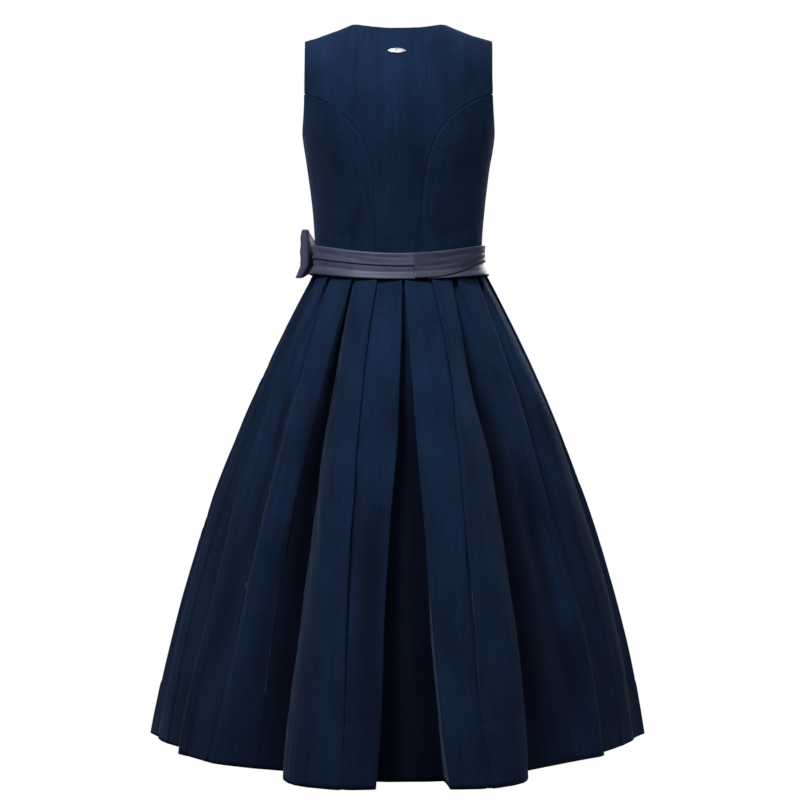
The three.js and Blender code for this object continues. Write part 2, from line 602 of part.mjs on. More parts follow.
const PLATE = { x: 2.4, z: -43.5, width: 27, height: 8, thickness: 0.7, bevel: 0.25 };
const oval = new THREE.Shape().absellipse(0, 0, PLATE.width / 2, PLATE.height / 2, 0, 2 * Math.PI);
const plate = new THREE.ExtrudeGeometry(oval, {
  depth: PLATE.thickness,
  bevelSize: PLATE.bevel,
  bevelThickness: PLATE.bevel,
  bevelSegments: 1,
  curveSegments: 12,
});
const platePositions = plate.getAttribute("position");
for (let k = 0; k < platePositions.count; k += 1) {
  const height = platePositions.getZ(k) + PLATE.bevel + SEAM_GAP;
  const at = outer(PLATE.x - platePositions.getX(k), PLATE.z + platePositions.getY(k), 1, height);
  platePositions.setXYZ(k, at.point.x, at.point.y, at.point.z);
}
add("neck_plate", plate, METAL);

export default model;
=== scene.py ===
import math

import bmesh
import bpy
import numpy as np
from mathutils import Matrix, Vector


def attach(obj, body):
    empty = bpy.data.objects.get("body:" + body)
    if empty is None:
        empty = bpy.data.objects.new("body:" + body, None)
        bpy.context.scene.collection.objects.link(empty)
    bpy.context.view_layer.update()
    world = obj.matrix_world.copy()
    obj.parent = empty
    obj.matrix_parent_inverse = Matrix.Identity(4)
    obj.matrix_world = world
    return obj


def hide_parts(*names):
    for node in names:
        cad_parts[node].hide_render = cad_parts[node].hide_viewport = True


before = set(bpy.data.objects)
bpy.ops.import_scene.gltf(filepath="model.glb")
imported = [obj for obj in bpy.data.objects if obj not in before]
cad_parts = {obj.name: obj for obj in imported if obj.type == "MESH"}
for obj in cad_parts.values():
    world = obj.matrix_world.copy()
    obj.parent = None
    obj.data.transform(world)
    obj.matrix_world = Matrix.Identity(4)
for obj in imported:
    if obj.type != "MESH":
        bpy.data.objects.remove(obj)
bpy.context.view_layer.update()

# ---- Camera ----
# Level with the middle of the skirt, straight behind the dress, three metres away.
CAMERA_DISTANCE = 3.0
CAMERA_HEIGHT = -0.5937
CAMERA_SIDE = -0.0024
FRAME_WIDTH = 1.296  # what the picture takes in at the side seams
SENSOR = 36.0


def placed(name, data):
    thing = bpy.data.objects.new(name, data)
    bpy.context.scene.collection.objects.link(thing)
    return thing


camera_data = bpy.data.cameras.new("camera")
camera_data.sensor_width = SENSOR
camera_data.lens = SENSOR * CAMERA_DISTANCE / FRAME_WIDTH
camera = placed("camera", camera_data)
camera.location = (CAMERA_SIDE, CAMERA_DISTANCE, CAMERA_HEIGHT)
camera.rotation_euler = (math.pi / 2, 0.0, math.pi)
bpy.context.scene.camera = camera


# ---- Studio ----
# White paper under the dress and all round it, a large soft light high on the camera's left,
# weaker ones on its right and in front of the dress, and little other light.
FLOOR_LEVEL = -1.75
PAPER_RADIUS = 14.0
AIR_LIGHT = 0.11


def paper(name, build):
    """A piece of the white surround. The camera sees it, and it casts no light on the dress."""
    mesh = bpy.data.meshes.new(name)
    form = bmesh.new()
    build(form)
    form.to_mesh(mesh)
    form.free()
    white = bpy.data.materials.new(name)
    white.use_nodes = True
    surface = white.node_tree.nodes["Principled BSDF"]
    surface.inputs["Base Color"].default_value = (0.0, 0.0, 0.0, 1.0)
    surface.inputs["Roughness"].default_value = 1.0
    surface.inputs["Specular IOR Level"].default_value = 0.0
    surface.inputs["Emission Color"].default_value = (1.0, 1.0, 1.0, 1.0)
    surface.inputs["Emission Strength"].default_value = 1.0
    mesh.materials.append(white)
    sheet = placed(name, mesh)
    sheet.visible_diffuse = sheet.visible_glossy = sheet.visible_shadow = False


paper("studio_floor", lambda form: bmesh.ops.create_circle(
    form, cap_ends=True, segments=48, radius=PAPER_RADIUS, matrix=Matrix.Translation((0, 0, FLOOR_LEVEL))))
paper("studio_surround", lambda form: bmesh.ops.create_uvsphere(
    form, u_segments=32, v_segments=16, radius=PAPER_RADIUS))

world = bpy.data.worlds.new("studio_air")
world.use_nodes = True
air = world.node_tree.nodes["Background"]
air.inputs["Color"].default_value = (1.0, 1.0, 1.0, 1.0)
air.inputs["Strength"].default_value = AIR_LIGHT
bpy.context.scene.world = world
bpy.context.scene.view_settings.view_transform = "Standard"


def soft_light(name, place, aim, size, power):
    data = bpy.data.lights.new(name, "AREA")
    data.shape = "DISK"
    data.size = size
    data.energy = power
    light = placed(name, data)
    light.location = place
    light.rotation_euler = (Vector(aim) - Vector(place)).to_track_quat("-Z", "Y").to_euler()


soft_light("key_light", (0.8, 1.35, 1.5), (0.0, 0.0, -0.3), 0.8, 49.0)
soft_light("fill_light", (-1.3, 1.6, 1.3), (0.0, 0.0, -0.4), 0.9, 22.0)
soft_light("front_light", (-1.6, -3.0, 0.9), (0.0, 0.0, -0.5), 1.8, 60.0)


# ---- Navy cloth ----
# Fine-ribbed cotton velvet: narrow ribs run down every panel, with uneven streaks and slubs,
# and the pile lights up where it is seen along its surface.
class Term:
    """A shader value. The operators add Math nodes to the material it belongs to."""

    def __init__(self, finish, socket):
        self.finish = finish
        self.socket = socket

    def maths(self, operation, first, second=0.0):
        return self.finish.node("ShaderNodeMath", {"operation": operation}, {0: first, 1: second})

    def __add__(self, other):
        return self.maths("ADD", self, other)

    __radd__ = __add__

    def __mul__(self, other):
        return self.maths("MULTIPLY", self, other)

    __rmul__ = __mul__

    def __sub__(self, other):
        return self.maths("SUBTRACT", self, other)

    def __rsub__(self, other):
        return self.maths("SUBTRACT", other, self)

    def sine(self):
        return self.maths("SINE", self)


class Finish:
    """A material being made, with one Principled surface."""

    def __init__(self, name):
        self.material = bpy.data.materials.new(name)
        self.material.use_nodes = True
        self.nodes = self.material.node_tree.nodes
        self.surface = self.nodes["Principled BSDF"]

    def node(self, kind, settings=None, sockets=None, output=0):
        node = self.nodes.new(kind)
        for key, value in (settings or {}).items():
            if key == "stops":
                self.set_stops(node.color_ramp, value)
            else:
                setattr(node, key, value)
        for key, value in (sockets or {}).items():
            self.feed(node.inputs[key], value)
        return Term(self, node.outputs[output])

    @staticmethod
    def set_stops(ramp, stops):
        while len(ramp.elements) < len(stops):
            ramp.elements.new(1.0)
        for element, (position, value) in zip(ramp.elements, stops):
            element.position = position
            element.color = (value, value, value, 1.0)

    def feed(self, socket, value):
        if isinstance(value, Term):
            self.material.node_tree.links.new(value.socket, socket)
        else:
            socket.default_value = value

    def set(self, **values):
        for key, value in values.items():
            self.feed(self.surface.inputs[key.replace("_", " ")], value)

    def blend(self, factor, first, second):
        return self.node(
            "ShaderNodeMix", {"data_type": "RGBA"}, {"Factor": factor, "A": first, "B": second}, output=2,
        )

    def noise(self, place, scale, detail=2.0, roughness=0.5):
        """Noise from 0 to 1 at a place stretched by scale, in waves per metre along each axis."""
        at = self.node("ShaderNodeMapping", None, {"Vector": place, "Scale": scale})
        look = {"Vector": at, "Scale": 1.0, "Detail": detail, "Roughness": roughness}
        return self.node("ShaderNodeTexNoise", None, look)

    def tone(self, value, dark, light):
        """Spreads the stretch of a value between dark and light over 0 to 1."""
        return self.node("ShaderNodeValToRGB", {"stops": [(dark, 0.0), (light, 1.0)]}, {"Fac": value})

    def bump(self, strength, distance, height):
        sockets = {"Strength": strength, "Distance": distance, "Height": height}
        return self.node("ShaderNodeBump", None, sockets)

    def folds(self):
        """The painted shade stored on the piece, from 0 to 1: deep in folds and along painted shadows on
        the skirt, and on the ties where they catch less light.
        """
        return self.node("ShaderNodeAttribute", {"attribute_name": "fold"}, None, output=2)


RIB_PITCH = 0.0016
NAVY_DARK = (0.0034, 0.0100, 0.0290, 1.0)
NAVY_LIGHT = (0.0100, 0.0290, 0.0810, 1.0)
NAVY_PAINTED_SHADE = (0.0010, 0.0018, 0.0060, 1.0)  # painted shade, darkest deep inside the folds
FOLD_SHADE = 0.8
NAVY_SHEEN = (0.30, 0.42, 0.72, 1.0)


def navy_cloth():
    finish = Finish("navy_ribbed_velvet")
    flat = finish.node("ShaderNodeUVMap", {"uv_map": "cut"})
    across = finish.node("ShaderNodeSeparateXYZ", None, {"Vector": flat})
    wander = finish.noise(flat, (60.0, 9.0, 1.0)) * RIB_PITCH
    rib = ((across + wander) * (2.0 * math.pi / RIB_PITCH)).sine() * 0.5 + 0.5
    streaks = finish.noise(flat, (420.0, 16.0, 1.0), 3.0, 0.6)
    bands = finish.noise(flat, (70.0, 5.0, 1.0))
    slubs = finish.noise(flat, (55.0, 620.0, 1.0), 2.0, 0.6)
    nap = finish.noise(flat, (11.0, 7.0, 1.0), 3.0)
    shade = rib * 0.16 + streaks * 0.40 + bands * 0.26 + slubs * 0.32 + nap * 0.56
    open_pile = finish.blend(finish.tone(shade * 0.9, 0.60, 1.00), NAVY_DARK, NAVY_LIGHT)
    finish.set(
        # Painted shade: the colour darkens towards the navy shade colour by the stored fold value, deep in
        # folds and along painted shadows.
        Base_Color=finish.blend(finish.folds() * FOLD_SHADE, open_pile, NAVY_PAINTED_SHADE),
        Roughness=0.86 + streaks * 0.12,
        Normal=finish.bump(0.55, 0.0006, rib * 0.55 + streaks * 0.35 + slubs * 0.25),
        Specular_IOR_Level=0.08,
        Sheen_Weight=0.15,
        Sheen_Roughness=0.45,
        Sheen_Tint=NAVY_SHEEN,
    )
    return finish.material


NAVY = navy_cloth()


# ---- Back of the bodice ----
# The centre back is one piece with both shoulders. It is cut from straight-grain cloth, and
# curved seams join it to the two side backs. The edges are turned in at the neck and armholes.
MM = 0.001
NAVY_WALL = 1.3
SHOULDER_WIDTH = 302.0
NECK_WIDTH = 150.0
NECK_POINT_Z = 13.0
SHOULDER_SLOPE = 27.0 / 76.0
SHOULDER_SAG = 2.2
NECK_CORNER = 1.8
SHOULDER_ROUND = 62.0
BACK_NECK_Z = -3.0
UNDERARM_Z = -168.0
WAIST_SIDE_Z = -367.0
WAIST_DIP_BACK = 17.0
WAIST_DIP_FRONT = 13.0
HEM_Z = -1142.0
SEAM_SHIFT = 0.08  # from a curved seam's line to the cloth on each side of it
SIDE_SEAM_SHIFT = 0.06
WAIST_SEAM = 0.3  # from the waist line to the cloth above and below it

# Height, half width, depth behind and in front of the side seams.
BODICE = np.array([
    (-420, 136, 93, 104),
    (-384, 135, 92, 103),
    (-335, 135, 92, 104),
    (-300, 137.5, 94, 109),
    (-257, 142, 98, 119),
    (-215, 148, 103, 126),
    (-175, 154, 106, 126),
    (-140, 158.5, 105, 119),
    (-105, 164.5, 101, 106),
    (-60, 173, 88, 80),
    (-10, 184, 66, 52),
    (40, 196, 44, 30),
], float)
WIDTH, BACK, FRONT = 1, 2, 3
BUST_X, BUST_Z, BUST_PROUD, BUST_WIDE, BUST_TALL = 78.0, -200.0, 9.0, 42.0, 50.0

# Top, distance from the centre at the armhole and at the waist, how fast it curves in, and how
# far the armhole is scooped out above it.
BACK_SEAM = (-104.5, 150.5, 34.0, 51.0, 1.0)
FRONT_SEAM = (-124.0, 146.0, 58.0, 60.0, 5.0)


def mix(first, second, part):
    return first + (second - first) * part


def smooth(low, high, value):
    part = np.clip((value - low) / (high - low), 0.0, 1.0)
    return part * part * (3.0 - 2.0 * part)


def figure(column, z):
    """One measure of the figure at a height, on a smooth curve through the table's rows."""
    rows, z = BODICE, np.clip(z, BODICE[0, 0], BODICE[-1, 0])
    slopes = np.gradient(rows[:, column], rows[:, 0])
    k = np.clip(np.searchsorted(rows[:, 0], z) - 1, 0, len(rows) - 2)
    span = rows[k + 1, 0] - rows[k, 0]
    t = (z - rows[k, 0]) / span
    return (
        (2 * t**3 - 3 * t**2 + 1) * rows[k, column] + (t**3 - 2 * t**2 + t) * span * slopes[k]
        + (3 * t**2 - 2 * t**3) * rows[k + 1, column] + (t**3 - t**2) * span * slopes[k + 1]
    )


def ridge(x):
    out = np.abs(x) - NECK_WIDTH / 2
    along = np.clip(2 * out / (SHOULDER_WIDTH - NECK_WIDTH), 0.0, 1.0)
    return NECK_POINT_Z - out * SHOULDER_SLOPE - SHOULDER_SAG * np.sin(math.pi * along)


def torso(angle, z):
    """Points of the bodice: angle from the centre back round to the wearer's left, and height."""
    angle, z = np.broadcast_arrays(np.asarray(angle, float), np.asarray(z, float))
    x = figure(WIDTH, z) * np.sin(angle)
    below = np.clip((ridge(x) - z) / SHOULDER_ROUND, 0.0, 1.0)
    rounding = np.sqrt(np.clip(1.0 - (1.0 - below) ** 2, 0.0, 1.0))
    back = figure(BACK, z) * np.cos(angle) * rounding
    bust = BUST_PROUD * np.exp(-(((np.abs(x) - BUST_X) / BUST_WIDE) ** 2) - ((z - BUST_Z) / BUST_TALL) ** 2)
    front = figure(FRONT, z) * np.cos(angle) * rounding + bust * np.cos(angle)
    return np.stack([x, np.where(np.cos(angle) >= 0, back, front), z], -1)


def angle_at(x, z):
    return np.arcsin(np.clip(x / figure(WIDTH, z), -1.0, 1.0))


def turned(angle, side):
    """An angle from the centre back, or for side -1 the same one from the centre front."""
    return angle if side > 0 else math.pi - angle


def torso_at(x, z, side):
    return torso(turned(angle_at(x, z), side), z)


def waist_z(angle):
    dip = np.where(np.cos(angle) >= 0, WAIST_DIP_BACK, WAIST_DIP_FRONT)
    return WAIST_SIDE_Z - dip * np.cos(angle) ** 2


def grid_normals(grid):
    """Unit normals of a grid of points, and how far a wall's offset is lengthened at a fold."""
    down = np.gradient(grid, axis=0)
    step = np.diff(grid, axis=1)
    before = np.cross(np.concatenate([step[:, :1], step], 1), down)
    after = np.cross(np.concatenate([step, step[:, -1:]], 1), down)
    before /= np.linalg.norm(before, axis=2, keepdims=True) + 1e-12
    after /= np.linalg.norm(after, axis=2, keepdims=True) + 1e-12
    normal = before + after
    normal /= np.linalg.norm(normal, axis=2, keepdims=True) + 1e-12
    miter = 1.0 / np.clip((normal * after).sum(2, keepdims=True), 0.65, 1.0)
    return normal, miter


def away(grid, normal):
    """Turns the normals of a panel outwards, away from the upright middle of the dress."""
    outward = (normal[..., :2] * grid[..., :2]).sum() + normal[..., 2].sum() * 1e-6
    return normal if outward >= 0 else -normal


def moved(grid, distance):
    normal, _ = grid_normals(grid)
    return grid + away(grid, normal) * np.asarray(distance)[..., None]


def cloth(name, grid, wall, cut, material, jumps=None):
    """A cloth wall on a grid of points in mm. cut gives each point's place on the flat cloth,
    and jumps the places of each face's right-hand points where they differ from it."""
    rows, columns = grid.shape[:2]
    normal, miter = grid_normals(grid)
    normal = away(grid, normal) * miter * wall / 2
    points = np.concatenate([(grid + normal).reshape(-1, 3), (grid - normal).reshape(-1, 3)]) * MM
    i, j = np.meshgrid(np.arange(rows - 1), np.arange(columns - 1), indexing="ij")
    corner = (i * columns + j).ravel()
    outer = np.stack([corner, corner + 1, corner + columns + 1, corner + columns], 1)
    facing = np.cross(grid[:, 1] - grid[:, 0], grid[1, 0] - grid[0, 0])
    order = slice(None, None, 1 if (facing * normal[:, 0]).sum() > 0 else -1)
    inner = outer + rows * columns
    top, bottom = np.arange(columns), (rows - 1) * columns + np.arange(columns)
    left, right = np.arange(rows) * columns, np.arange(rows) * columns + columns - 1
    rims = []
    for line, flip in ((top, False), (bottom, True), (left, True), (right, False)):
        a, b = line[:-1], line[1:]
        rim = np.stack([b, a, a + rows * columns, b + rows * columns], 1)
        rims.append(rim[:, ::-1] if flip else rim)
    faces = np.concatenate([outer, inner[:, ::-1]] + rims)[:, order]

    def on_faces(flat):
        return np.concatenate([flat.reshape(-1, 2)] * 2)[faces] * MM

    places = on_faces(cut)
    if jumps is not None:
        is_right = np.zeros((len(faces), 4, 1), bool)
        is_right[:2 * len(outer), 1:3] = True
        places = np.where(is_right, on_faces(jumps), places)
    mesh = bpy.data.meshes.new(name)
    mesh.vertices.add(len(points))
    mesh.vertices.foreach_set("co", points.ravel())
    mesh.loops.add(faces.size)
    mesh.loops.foreach_set("vertex_index", faces.ravel().astype(np.int32))
    mesh.polygons.add(len(faces))
    mesh.polygons.foreach_set("loop_start", np.arange(0, faces.size, 4, dtype=np.int32))
    mesh.update(calc_edges=True)
    mesh.uv_layers.new(name="cut").data.foreach_set("uv", places.ravel())
    mesh.polygons.foreach_set("use_smooth", np.ones(len(faces), bool))
    mesh.materials.append(material)
    mesh.validate()
    return placed(name, mesh)


def store_painted_shade(piece, depth):
    """Stores painted shade for both faces of a cloth wall, from 0 to 1 at each point of its grid."""
    store = piece.data.attributes.new("fold", "FLOAT", "POINT")
    store.data.foreach_set("value", np.concatenate([depth.ravel()] * 2))


def sewn_in(piece, node):
    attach(piece, "root")
    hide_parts(node)


def ripple(a, b, seed, count=9):
    """Uneven waves from about -1 to 1 over two coordinates measured in waves."""
    rng = np.random.RandomState(seed)
    total = np.zeros(np.broadcast(a, b).shape)
    for _ in range(count):
        turn, phase = rng.uniform(0, 2 * math.pi, 2)
        speed = rng.uniform(0.6, 1.5)
        total += np.sin(2 * math.pi * speed * (a * math.cos(turn) + b * math.sin(turn)) + phase)
    return total / math.sqrt(count) * 0.9


def fold_depth(grid):
    """How far inside the outline of its own row each point lies, in mm."""
    depth = np.zeros(grid.shape[:2])
    for row, points in enumerate(grid[..., :2]):
        order = np.lexsort((points[:, 1], points[:, 0]))
        hull = []
        for direction in (order, order[::-1]):
            chain = []
            for k in direction:
                while len(chain) > 1:
                    (x0, y0), (x1, y1), (x2, y2) = points[chain[-2]], points[chain[-1]], points[k]
                    if (x1 - x0) * (y2 - y0) - (y1 - y0) * (x2 - x0) > 0:
                        break
                    chain.pop()
                chain.append(k)
            hull += chain[:-1]
        start = points[hull]
        step = np.roll(start, -1, axis=0) - start
        length = np.linalg.norm(step, axis=1) + 1e-9
        off = points[:, None] - start[None]
        depth[row] = ((step[:, 0] * off[..., 1] - step[:, 1] * off[..., 0]) / length).min(1)
    return depth


def row_lengths(grid):
    step = np.linalg.norm(np.diff(grid, axis=1), axis=2)
    return np.concatenate([np.zeros((len(grid), 1)), np.cumsum(step, axis=1)], axis=1)


def straight_grain(grid):
    """The flat cut of a bodice panel: level distance from its centre line, and height."""
    lengths = row_lengths(grid)
    middle = lengths[:, lengths.shape[1] // 2][:, None]
    return np.stack([lengths - middle, grid[..., 2]], -1)


def seam_x(seam, z):
    top, armhole, waist, curve, _ = seam
    return waist + (armhole - waist) * np.exp(-np.clip(top - z, 0, None) / curve)


def row_point(seam, part, x, side):
    level = mix(seam[0], WAIST_SIDE_Z - WAIST_DIP_BACK, part)
    waist = waist_z(turned(angle_at(x, level), side)) + WAIST_SEAM
    return torso_at(x, mix(seam[0], waist, part), side)


def lower_seam_x(seam, part):
    return seam_x(seam, mix(seam[0], WAIST_SIDE_Z - WAIST_DIP_BACK, part))


# Where rows of points lie: degrees over the shoulder, then shares of the way from the top of
# the curved seam to the waist.
TOP_TURNS = np.concatenate([[0.1, 4.0], np.linspace(9, 90, 15)])
LOWER_ROWS = np.concatenate([
    [0.006, 0.014], np.linspace(0.026, 0.3, 26), np.linspace(0.315, 1.0, 44),
])
CLOSURE_X = 9.0
CLOSURE_STITCH_X = 4.5


def shoulder_panel(columns, seam, neck_z, side):
    edge, neck = SHOULDER_WIDTH / 2, NECK_WIDTH / 2
    columns = np.asarray(columns, float)
    corner = NECK_CORNER * np.exp(-(((np.abs(columns) - neck) / 6) ** 2))
    top = np.where(np.abs(columns) < neck, neck_z(columns), ridge(columns)) - corner

    def turn(degrees_down):
        drop = SHOULDER_ROUND * (1 - math.cos(math.radians(degrees_down)))
        return drop / (ridge(np.maximum(np.abs(columns), neck)) - seam[0])

    parts = [turn(angle) for angle in TOP_TURNS]
    full = parts[-1]
    parts += [mix(full, 1.0, step) for step in (0.2, 0.4, 0.6, 0.8, 1.0)]
    grid = []
    for part in parts:
        scoop = 1 - ((edge - seam[1]) / edge) * part
        curve = seam[4] * np.sin(math.pi * part) / edge
        grid.append(torso_at(columns * (scoop - curve), mix(top, seam[0], part), side))
    for part in LOWER_ROWS:
        reach = lower_seam_x(seam, part) - SEAM_SHIFT
        flat = columns / edge * reach
        if side < 0:
            flat = np.where(np.abs(columns) <= CLOSURE_X, columns, flat)
        grid.append(row_point(seam, part, flat, side))
    return np.array(grid)


def side_panel(seam, side, hand, columns=34):
    share = np.linspace(0, 1, columns)
    grid = []
    for part in LOWER_ROWS:
        level = mix(seam[0], WAIST_SIDE_Z, part)
        edge = row_point(seam, part, lower_seam_x(seam, part) + SEAM_SHIFT, side)
        inner = angle_at(edge[0], edge[2])
        start = angle_at(seam[1], seam[0])
        side_edge = math.pi / 2 - SIDE_SEAM_SHIFT / figure(WIDTH, level)
        depth = min((seam[0] - level) / (seam[0] - UNDERARM_Z), 1.0)
        armhole = mix(start, side_edge, mix(1 - math.sqrt(1 - depth * depth), depth, 0.45))
        angle = turned(mix(inner, armhole, share), side)
        grid.append(torso(hand * angle, mix(seam[0], waist_z(angle) + WAIST_SEAM, part)))
    return np.array(grid)


def back_neck(x):
    return BACK_NECK_Z + (NECK_POINT_Z - BACK_NECK_Z) * (np.abs(x) / (NECK_WIDTH / 2)) ** 2.2


# Soft creases pressed into the bodice: distance from the centre and height of the two ends,
# how deep, and how wide. The first ones pull from the right-hand seam towards the side.
BACK_CREASES = [
    ((-40, -236), (-74, -240), 0.7, 3.0),
    ((-42, -246), (-70, -249), 0.6, 2.6),
    ((-40, -256), (-66, -258), 0.5, 2.6),
    ((-38, -270), (-62, -268), 0.35, 3.0),
    ((44, -250), (72, -256), 0.35, 3.5),
    ((128, -70), (104, -110), 0.7, 9.0),
    ((-130, -72), (-106, -116), 0.8, 10.0),
    ((118, -330), (60, -338), 0.8, 8.0),
    ((-120, -322), (-70, -334), 0.9, 8.0),
    ((30, -342), (-26, -346), 0.6, 7.0),
    ((136, -190), (120, -240), 0.7, 10.0),
    ((-138, -196), (-120, -250), 0.8, 10.0),
]


def pressed(grid, creases):
    """Depth of the listed creases over a panel, measured in its upright plane."""
    x, z = grid[..., 0], grid[..., 2]
    depth = np.zeros(x.shape)
    for (x0, z0), (x1, z1), deep, wide in creases:
        length = math.hypot(x1 - x0, z1 - z0)
        ux, uz = (x1 - x0) / length, (z1 - z0) / length
        along = ((x - x0) * ux + (z - z0) * uz) / length
        aside = (x - x0) * uz - (z - z0) * ux
        fade = smooth(-0.25, 0.3, along) * (1 - smooth(0.6, 1.3, along))
        depth -= deep * fade * np.exp(-((aside / wide) ** 2))
    return depth


def seam_dip(grid, seam):
    """The cloth rolls in at a sewn seam, and its allowances make a low ridge beside it."""
    no_seam = grid[..., 2] > seam[0]
    off = np.abs(np.abs(grid[..., 0]) - seam_x(seam, grid[..., 2])) * np.where(no_seam, 60.0, 1.0)
    return -0.75 * np.exp(-((off / 1.3) ** 2)) + 0.3 * np.exp(-(((off - 5.0) / 3.0) ** 2))


def body_drape(grid, seed, creases, seam):
    """A bodice panel with its seams, creases and slight unevenness."""
    x, z = grid[..., 0], grid[..., 2]
    lift = 0.28 * ripple(x / 60, z / 85, seed) + 0.10 * ripple(x / 14, z / 45, seed + 1)
    lift = lift + pressed(grid, creases) + seam_dip(grid, seam)
    return moved(grid, lift)


half = np.concatenate([np.linspace(0, 75, 26), np.linspace(75, 151, 28)[1:]])
both = np.concatenate([-half[:0:-1], half])
shape = shoulder_panel(both, BACK_SEAM, back_neck, 1)
draped = body_drape(shape, 3, BACK_CREASES, BACK_SEAM)
piece = cloth("centre_back", draped, NAVY_WALL, straight_grain(shape), NAVY)
sewn_in(piece, "back_centre")

for hand, name in ((1, "left"), (-1, "right")):
    shape = side_panel(BACK_SEAM, 1, hand)
    draped = body_drape(shape, 7 + hand, BACK_CREASES, BACK_SEAM)
    piece = cloth(f"side_back_{name}", draped, NAVY_WALL, straight_grain(shape), NAVY)
    sewn_in(piece, f"back_side_{name}")


# ---- Front of the bodice ----
# Two centre fronts meet under a row of buttons, the right one lapped over, and two side fronts
# are shaped over the bust by curved seams.
FRONT_NECK_Z = -112.0
FRONT_CREASES = [
    ((50, -214), (96, -238), 0.5, 6.0),
    ((-52, -212), (-98, -240), 0.6, 6.0),
    ((30, -330), (92, -338), 0.8, 7.0),
    ((-26, -326), (-90, -336), 0.8, 7.0),
    ((126, -80), (112, -130), 0.7, 9.0),
    ((-126, -84), (-110, -136), 0.7, 9.0),
]


def front_neck(x):
    return FRONT_NECK_Z + (NECK_POINT_Z - FRONT_NECK_Z) * (np.abs(x) / (NECK_WIDTH / 2)) ** 4


outward = np.concatenate([[16, 24, 31, 38, 44, 50, 54, 58, 61, 64, 66.5, 69, 71, 73, 74.2, 75],
                          np.linspace(75, 151, 26)[1:]])
left_columns = np.concatenate([[CLOSURE_X], outward])
right_columns = np.concatenate([[CLOSURE_X - 0.3, CLOSURE_STITCH_X, 0.0, -5.0, -10.0], -outward])
for columns, name in ((left_columns, "left"), (right_columns, "right")):
    shape = shoulder_panel(columns, FRONT_SEAM, front_neck, -1)
    draped = body_drape(shape, 21, FRONT_CREASES, FRONT_SEAM)
    overlap = np.abs(columns) <= CLOSURE_X
    draped[:, overlap] = shape[:, overlap]
    if name == "right":
        closure_edge = draped[:, list(columns).index(CLOSURE_STITCH_X)]
    piece = cloth(f"front_{name}_panel", draped, NAVY_WALL, straight_grain(shape), NAVY)
    sewn_in(piece, f"front_{name}")

for hand, name in ((1, "left"), (-1, "right")):
    shape = side_panel(FRONT_SEAM, -1, hand)
    draped = body_drape(shape, 31 + hand, FRONT_CREASES, FRONT_SEAM)
    piece = cloth(f"side_front_{name}", draped, NAVY_WALL, straight_grain(shape), NAVY)
    sewn_in(piece, f"front_side_{name}")


# ---- Skirt ----
# Straight widths of the same cloth, laid into knife pleats at the waist that face the centre
# back, with an inverted pleat there. They hang free, so each opens into a soft fold below.
WAIST_TUCK = 13.0
WAIST_LAYER = 3.0
HEM_WIDTH = 402.0
HEM_DEPTH = 302.0
HEM_TURN = 87.0  # depth of the turned-up hem
CORNERS = 5
EDGE, INNER = 4, 2  # a folded edge and an inner fold, in the order of a pleat's corners

# Angle of the folded edge at waist, half way and hem; its radius at the hem; then, half way and
# at the hem: how far the inner fold is tucked behind the edge and how deep, and how far away and
# how high the next panel surfaces.
LEFT_PLEATS = [
    ((-3.3, 2, 4.7), 397, (10, 6), (38, 50), (5, 9), (-40, -53)),
    ((20, 13.6, 12), 408, (9, -4), (8, 3), (3, 12), (-7, -2)),
    ((42, 41, 40), 324, (-8, -44), (40, 10), (64, 92), (30, 76)),
    ((62.7, 62, 66), 358, (-44, -60), (14, 8), (66, 90), (-8, -10)),
    ((80, 83, 83), 370, (-54, -50), (28, 24), (78, 84), (-4, -4)),
    ((98, 98, 97), 410, (-12, -34), (15, 20), (40, 62), (-8, -24)),
    ((117, 114, 114), 0, (-14, -40), (16, 16), (40, 74), (-6, 2)),
    ((137, 131, 132), 0, (-14, -40), (14, 14), (40, 74), (-4, 12)),
]
RIGHT_PLEATS = [
    ((6.2, 7.2, 10.6), 402, (10, 6), (38, 54), (6, 22), (-40, -58)),
    ((30.8, 19.8, 19), 412, (6, -4), (8, 3), (4, 12), (-7, -2)),
    ((50.6, 60, 61), 340, (-94, -162), (40, 14), (114, 190), (16, 56)),
    ((74.5, 78, 80), 362, (-54, -70), (34, 24), (68, 92), (-6, -12)),
    ((89, 94, 96), 406, (-12, -36), (18, 22), (38, 66), (-8, -28)),
    ((107, 110, 112), 0, (-14, -36), (15, 14), (36, 64), (-6, -2)),
    ((126, 124, 126), 0, (-12, -36), (15, 14), (38, 66), (-5, 10)),
    ((146, 139, 141), 0, (-12, -36), (14, 14), (38, 66), (-3, 10)),
]
FRONT_PANEL = [(152, 148), (166, 164), (180, 180), (193, 196), (204, 208)]
SEAM_AFTER_LEFT = 6  # pleats between the centre back and each side seam
SEAM_AFTER_RIGHT = 5
CRISP_PLEATS = 2  # on each side of the centre back; the others open into soft folds
CORNER_TOTAL = (len(LEFT_PLEATS) + len(RIGHT_PLEATS)) * CORNERS + len(FRONT_PANEL)
PANEL_SHIFT = 37.3  # sets each panel's patch of the flat cloth apart from the next one's
SKIRT_SEAM = 0.15  # from a side seam's line to the cloth on each side of it
HALF_WAIST = figure(WIDTH, np.array(WAIST_SIDE_Z))


def waist_depth(angle):
    z = np.array(WAIST_SIDE_Z)
    return np.where(np.cos(angle) >= 0, figure(BACK, z), figure(FRONT, z))


def waist_radius(angle):
    return 1.0 / np.hypot(np.sin(angle) / HALF_WAIST, np.cos(angle) / waist_depth(angle))


def front_hem_radius(angle):
    return 1.0 / np.hypot(np.sin(angle) / HEM_WIDTH, np.cos(angle) / HEM_DEPTH)


def flare(t):
    """How far the skirt has widened at a level, from 0 at the waist to 1 at the hem."""
    u = np.clip((t - 0.012) / 0.988, 0.0, None)
    return 1.55 * u - 0.55 * u * u


def through(values, t):
    """A smooth course through three values: at the waist, half way and at the hem."""
    start, middle, end = values
    return start * (2 * t - 1) * (t - 1) + middle * 4 * t * (1 - t) + end * t * (2 * t - 1)


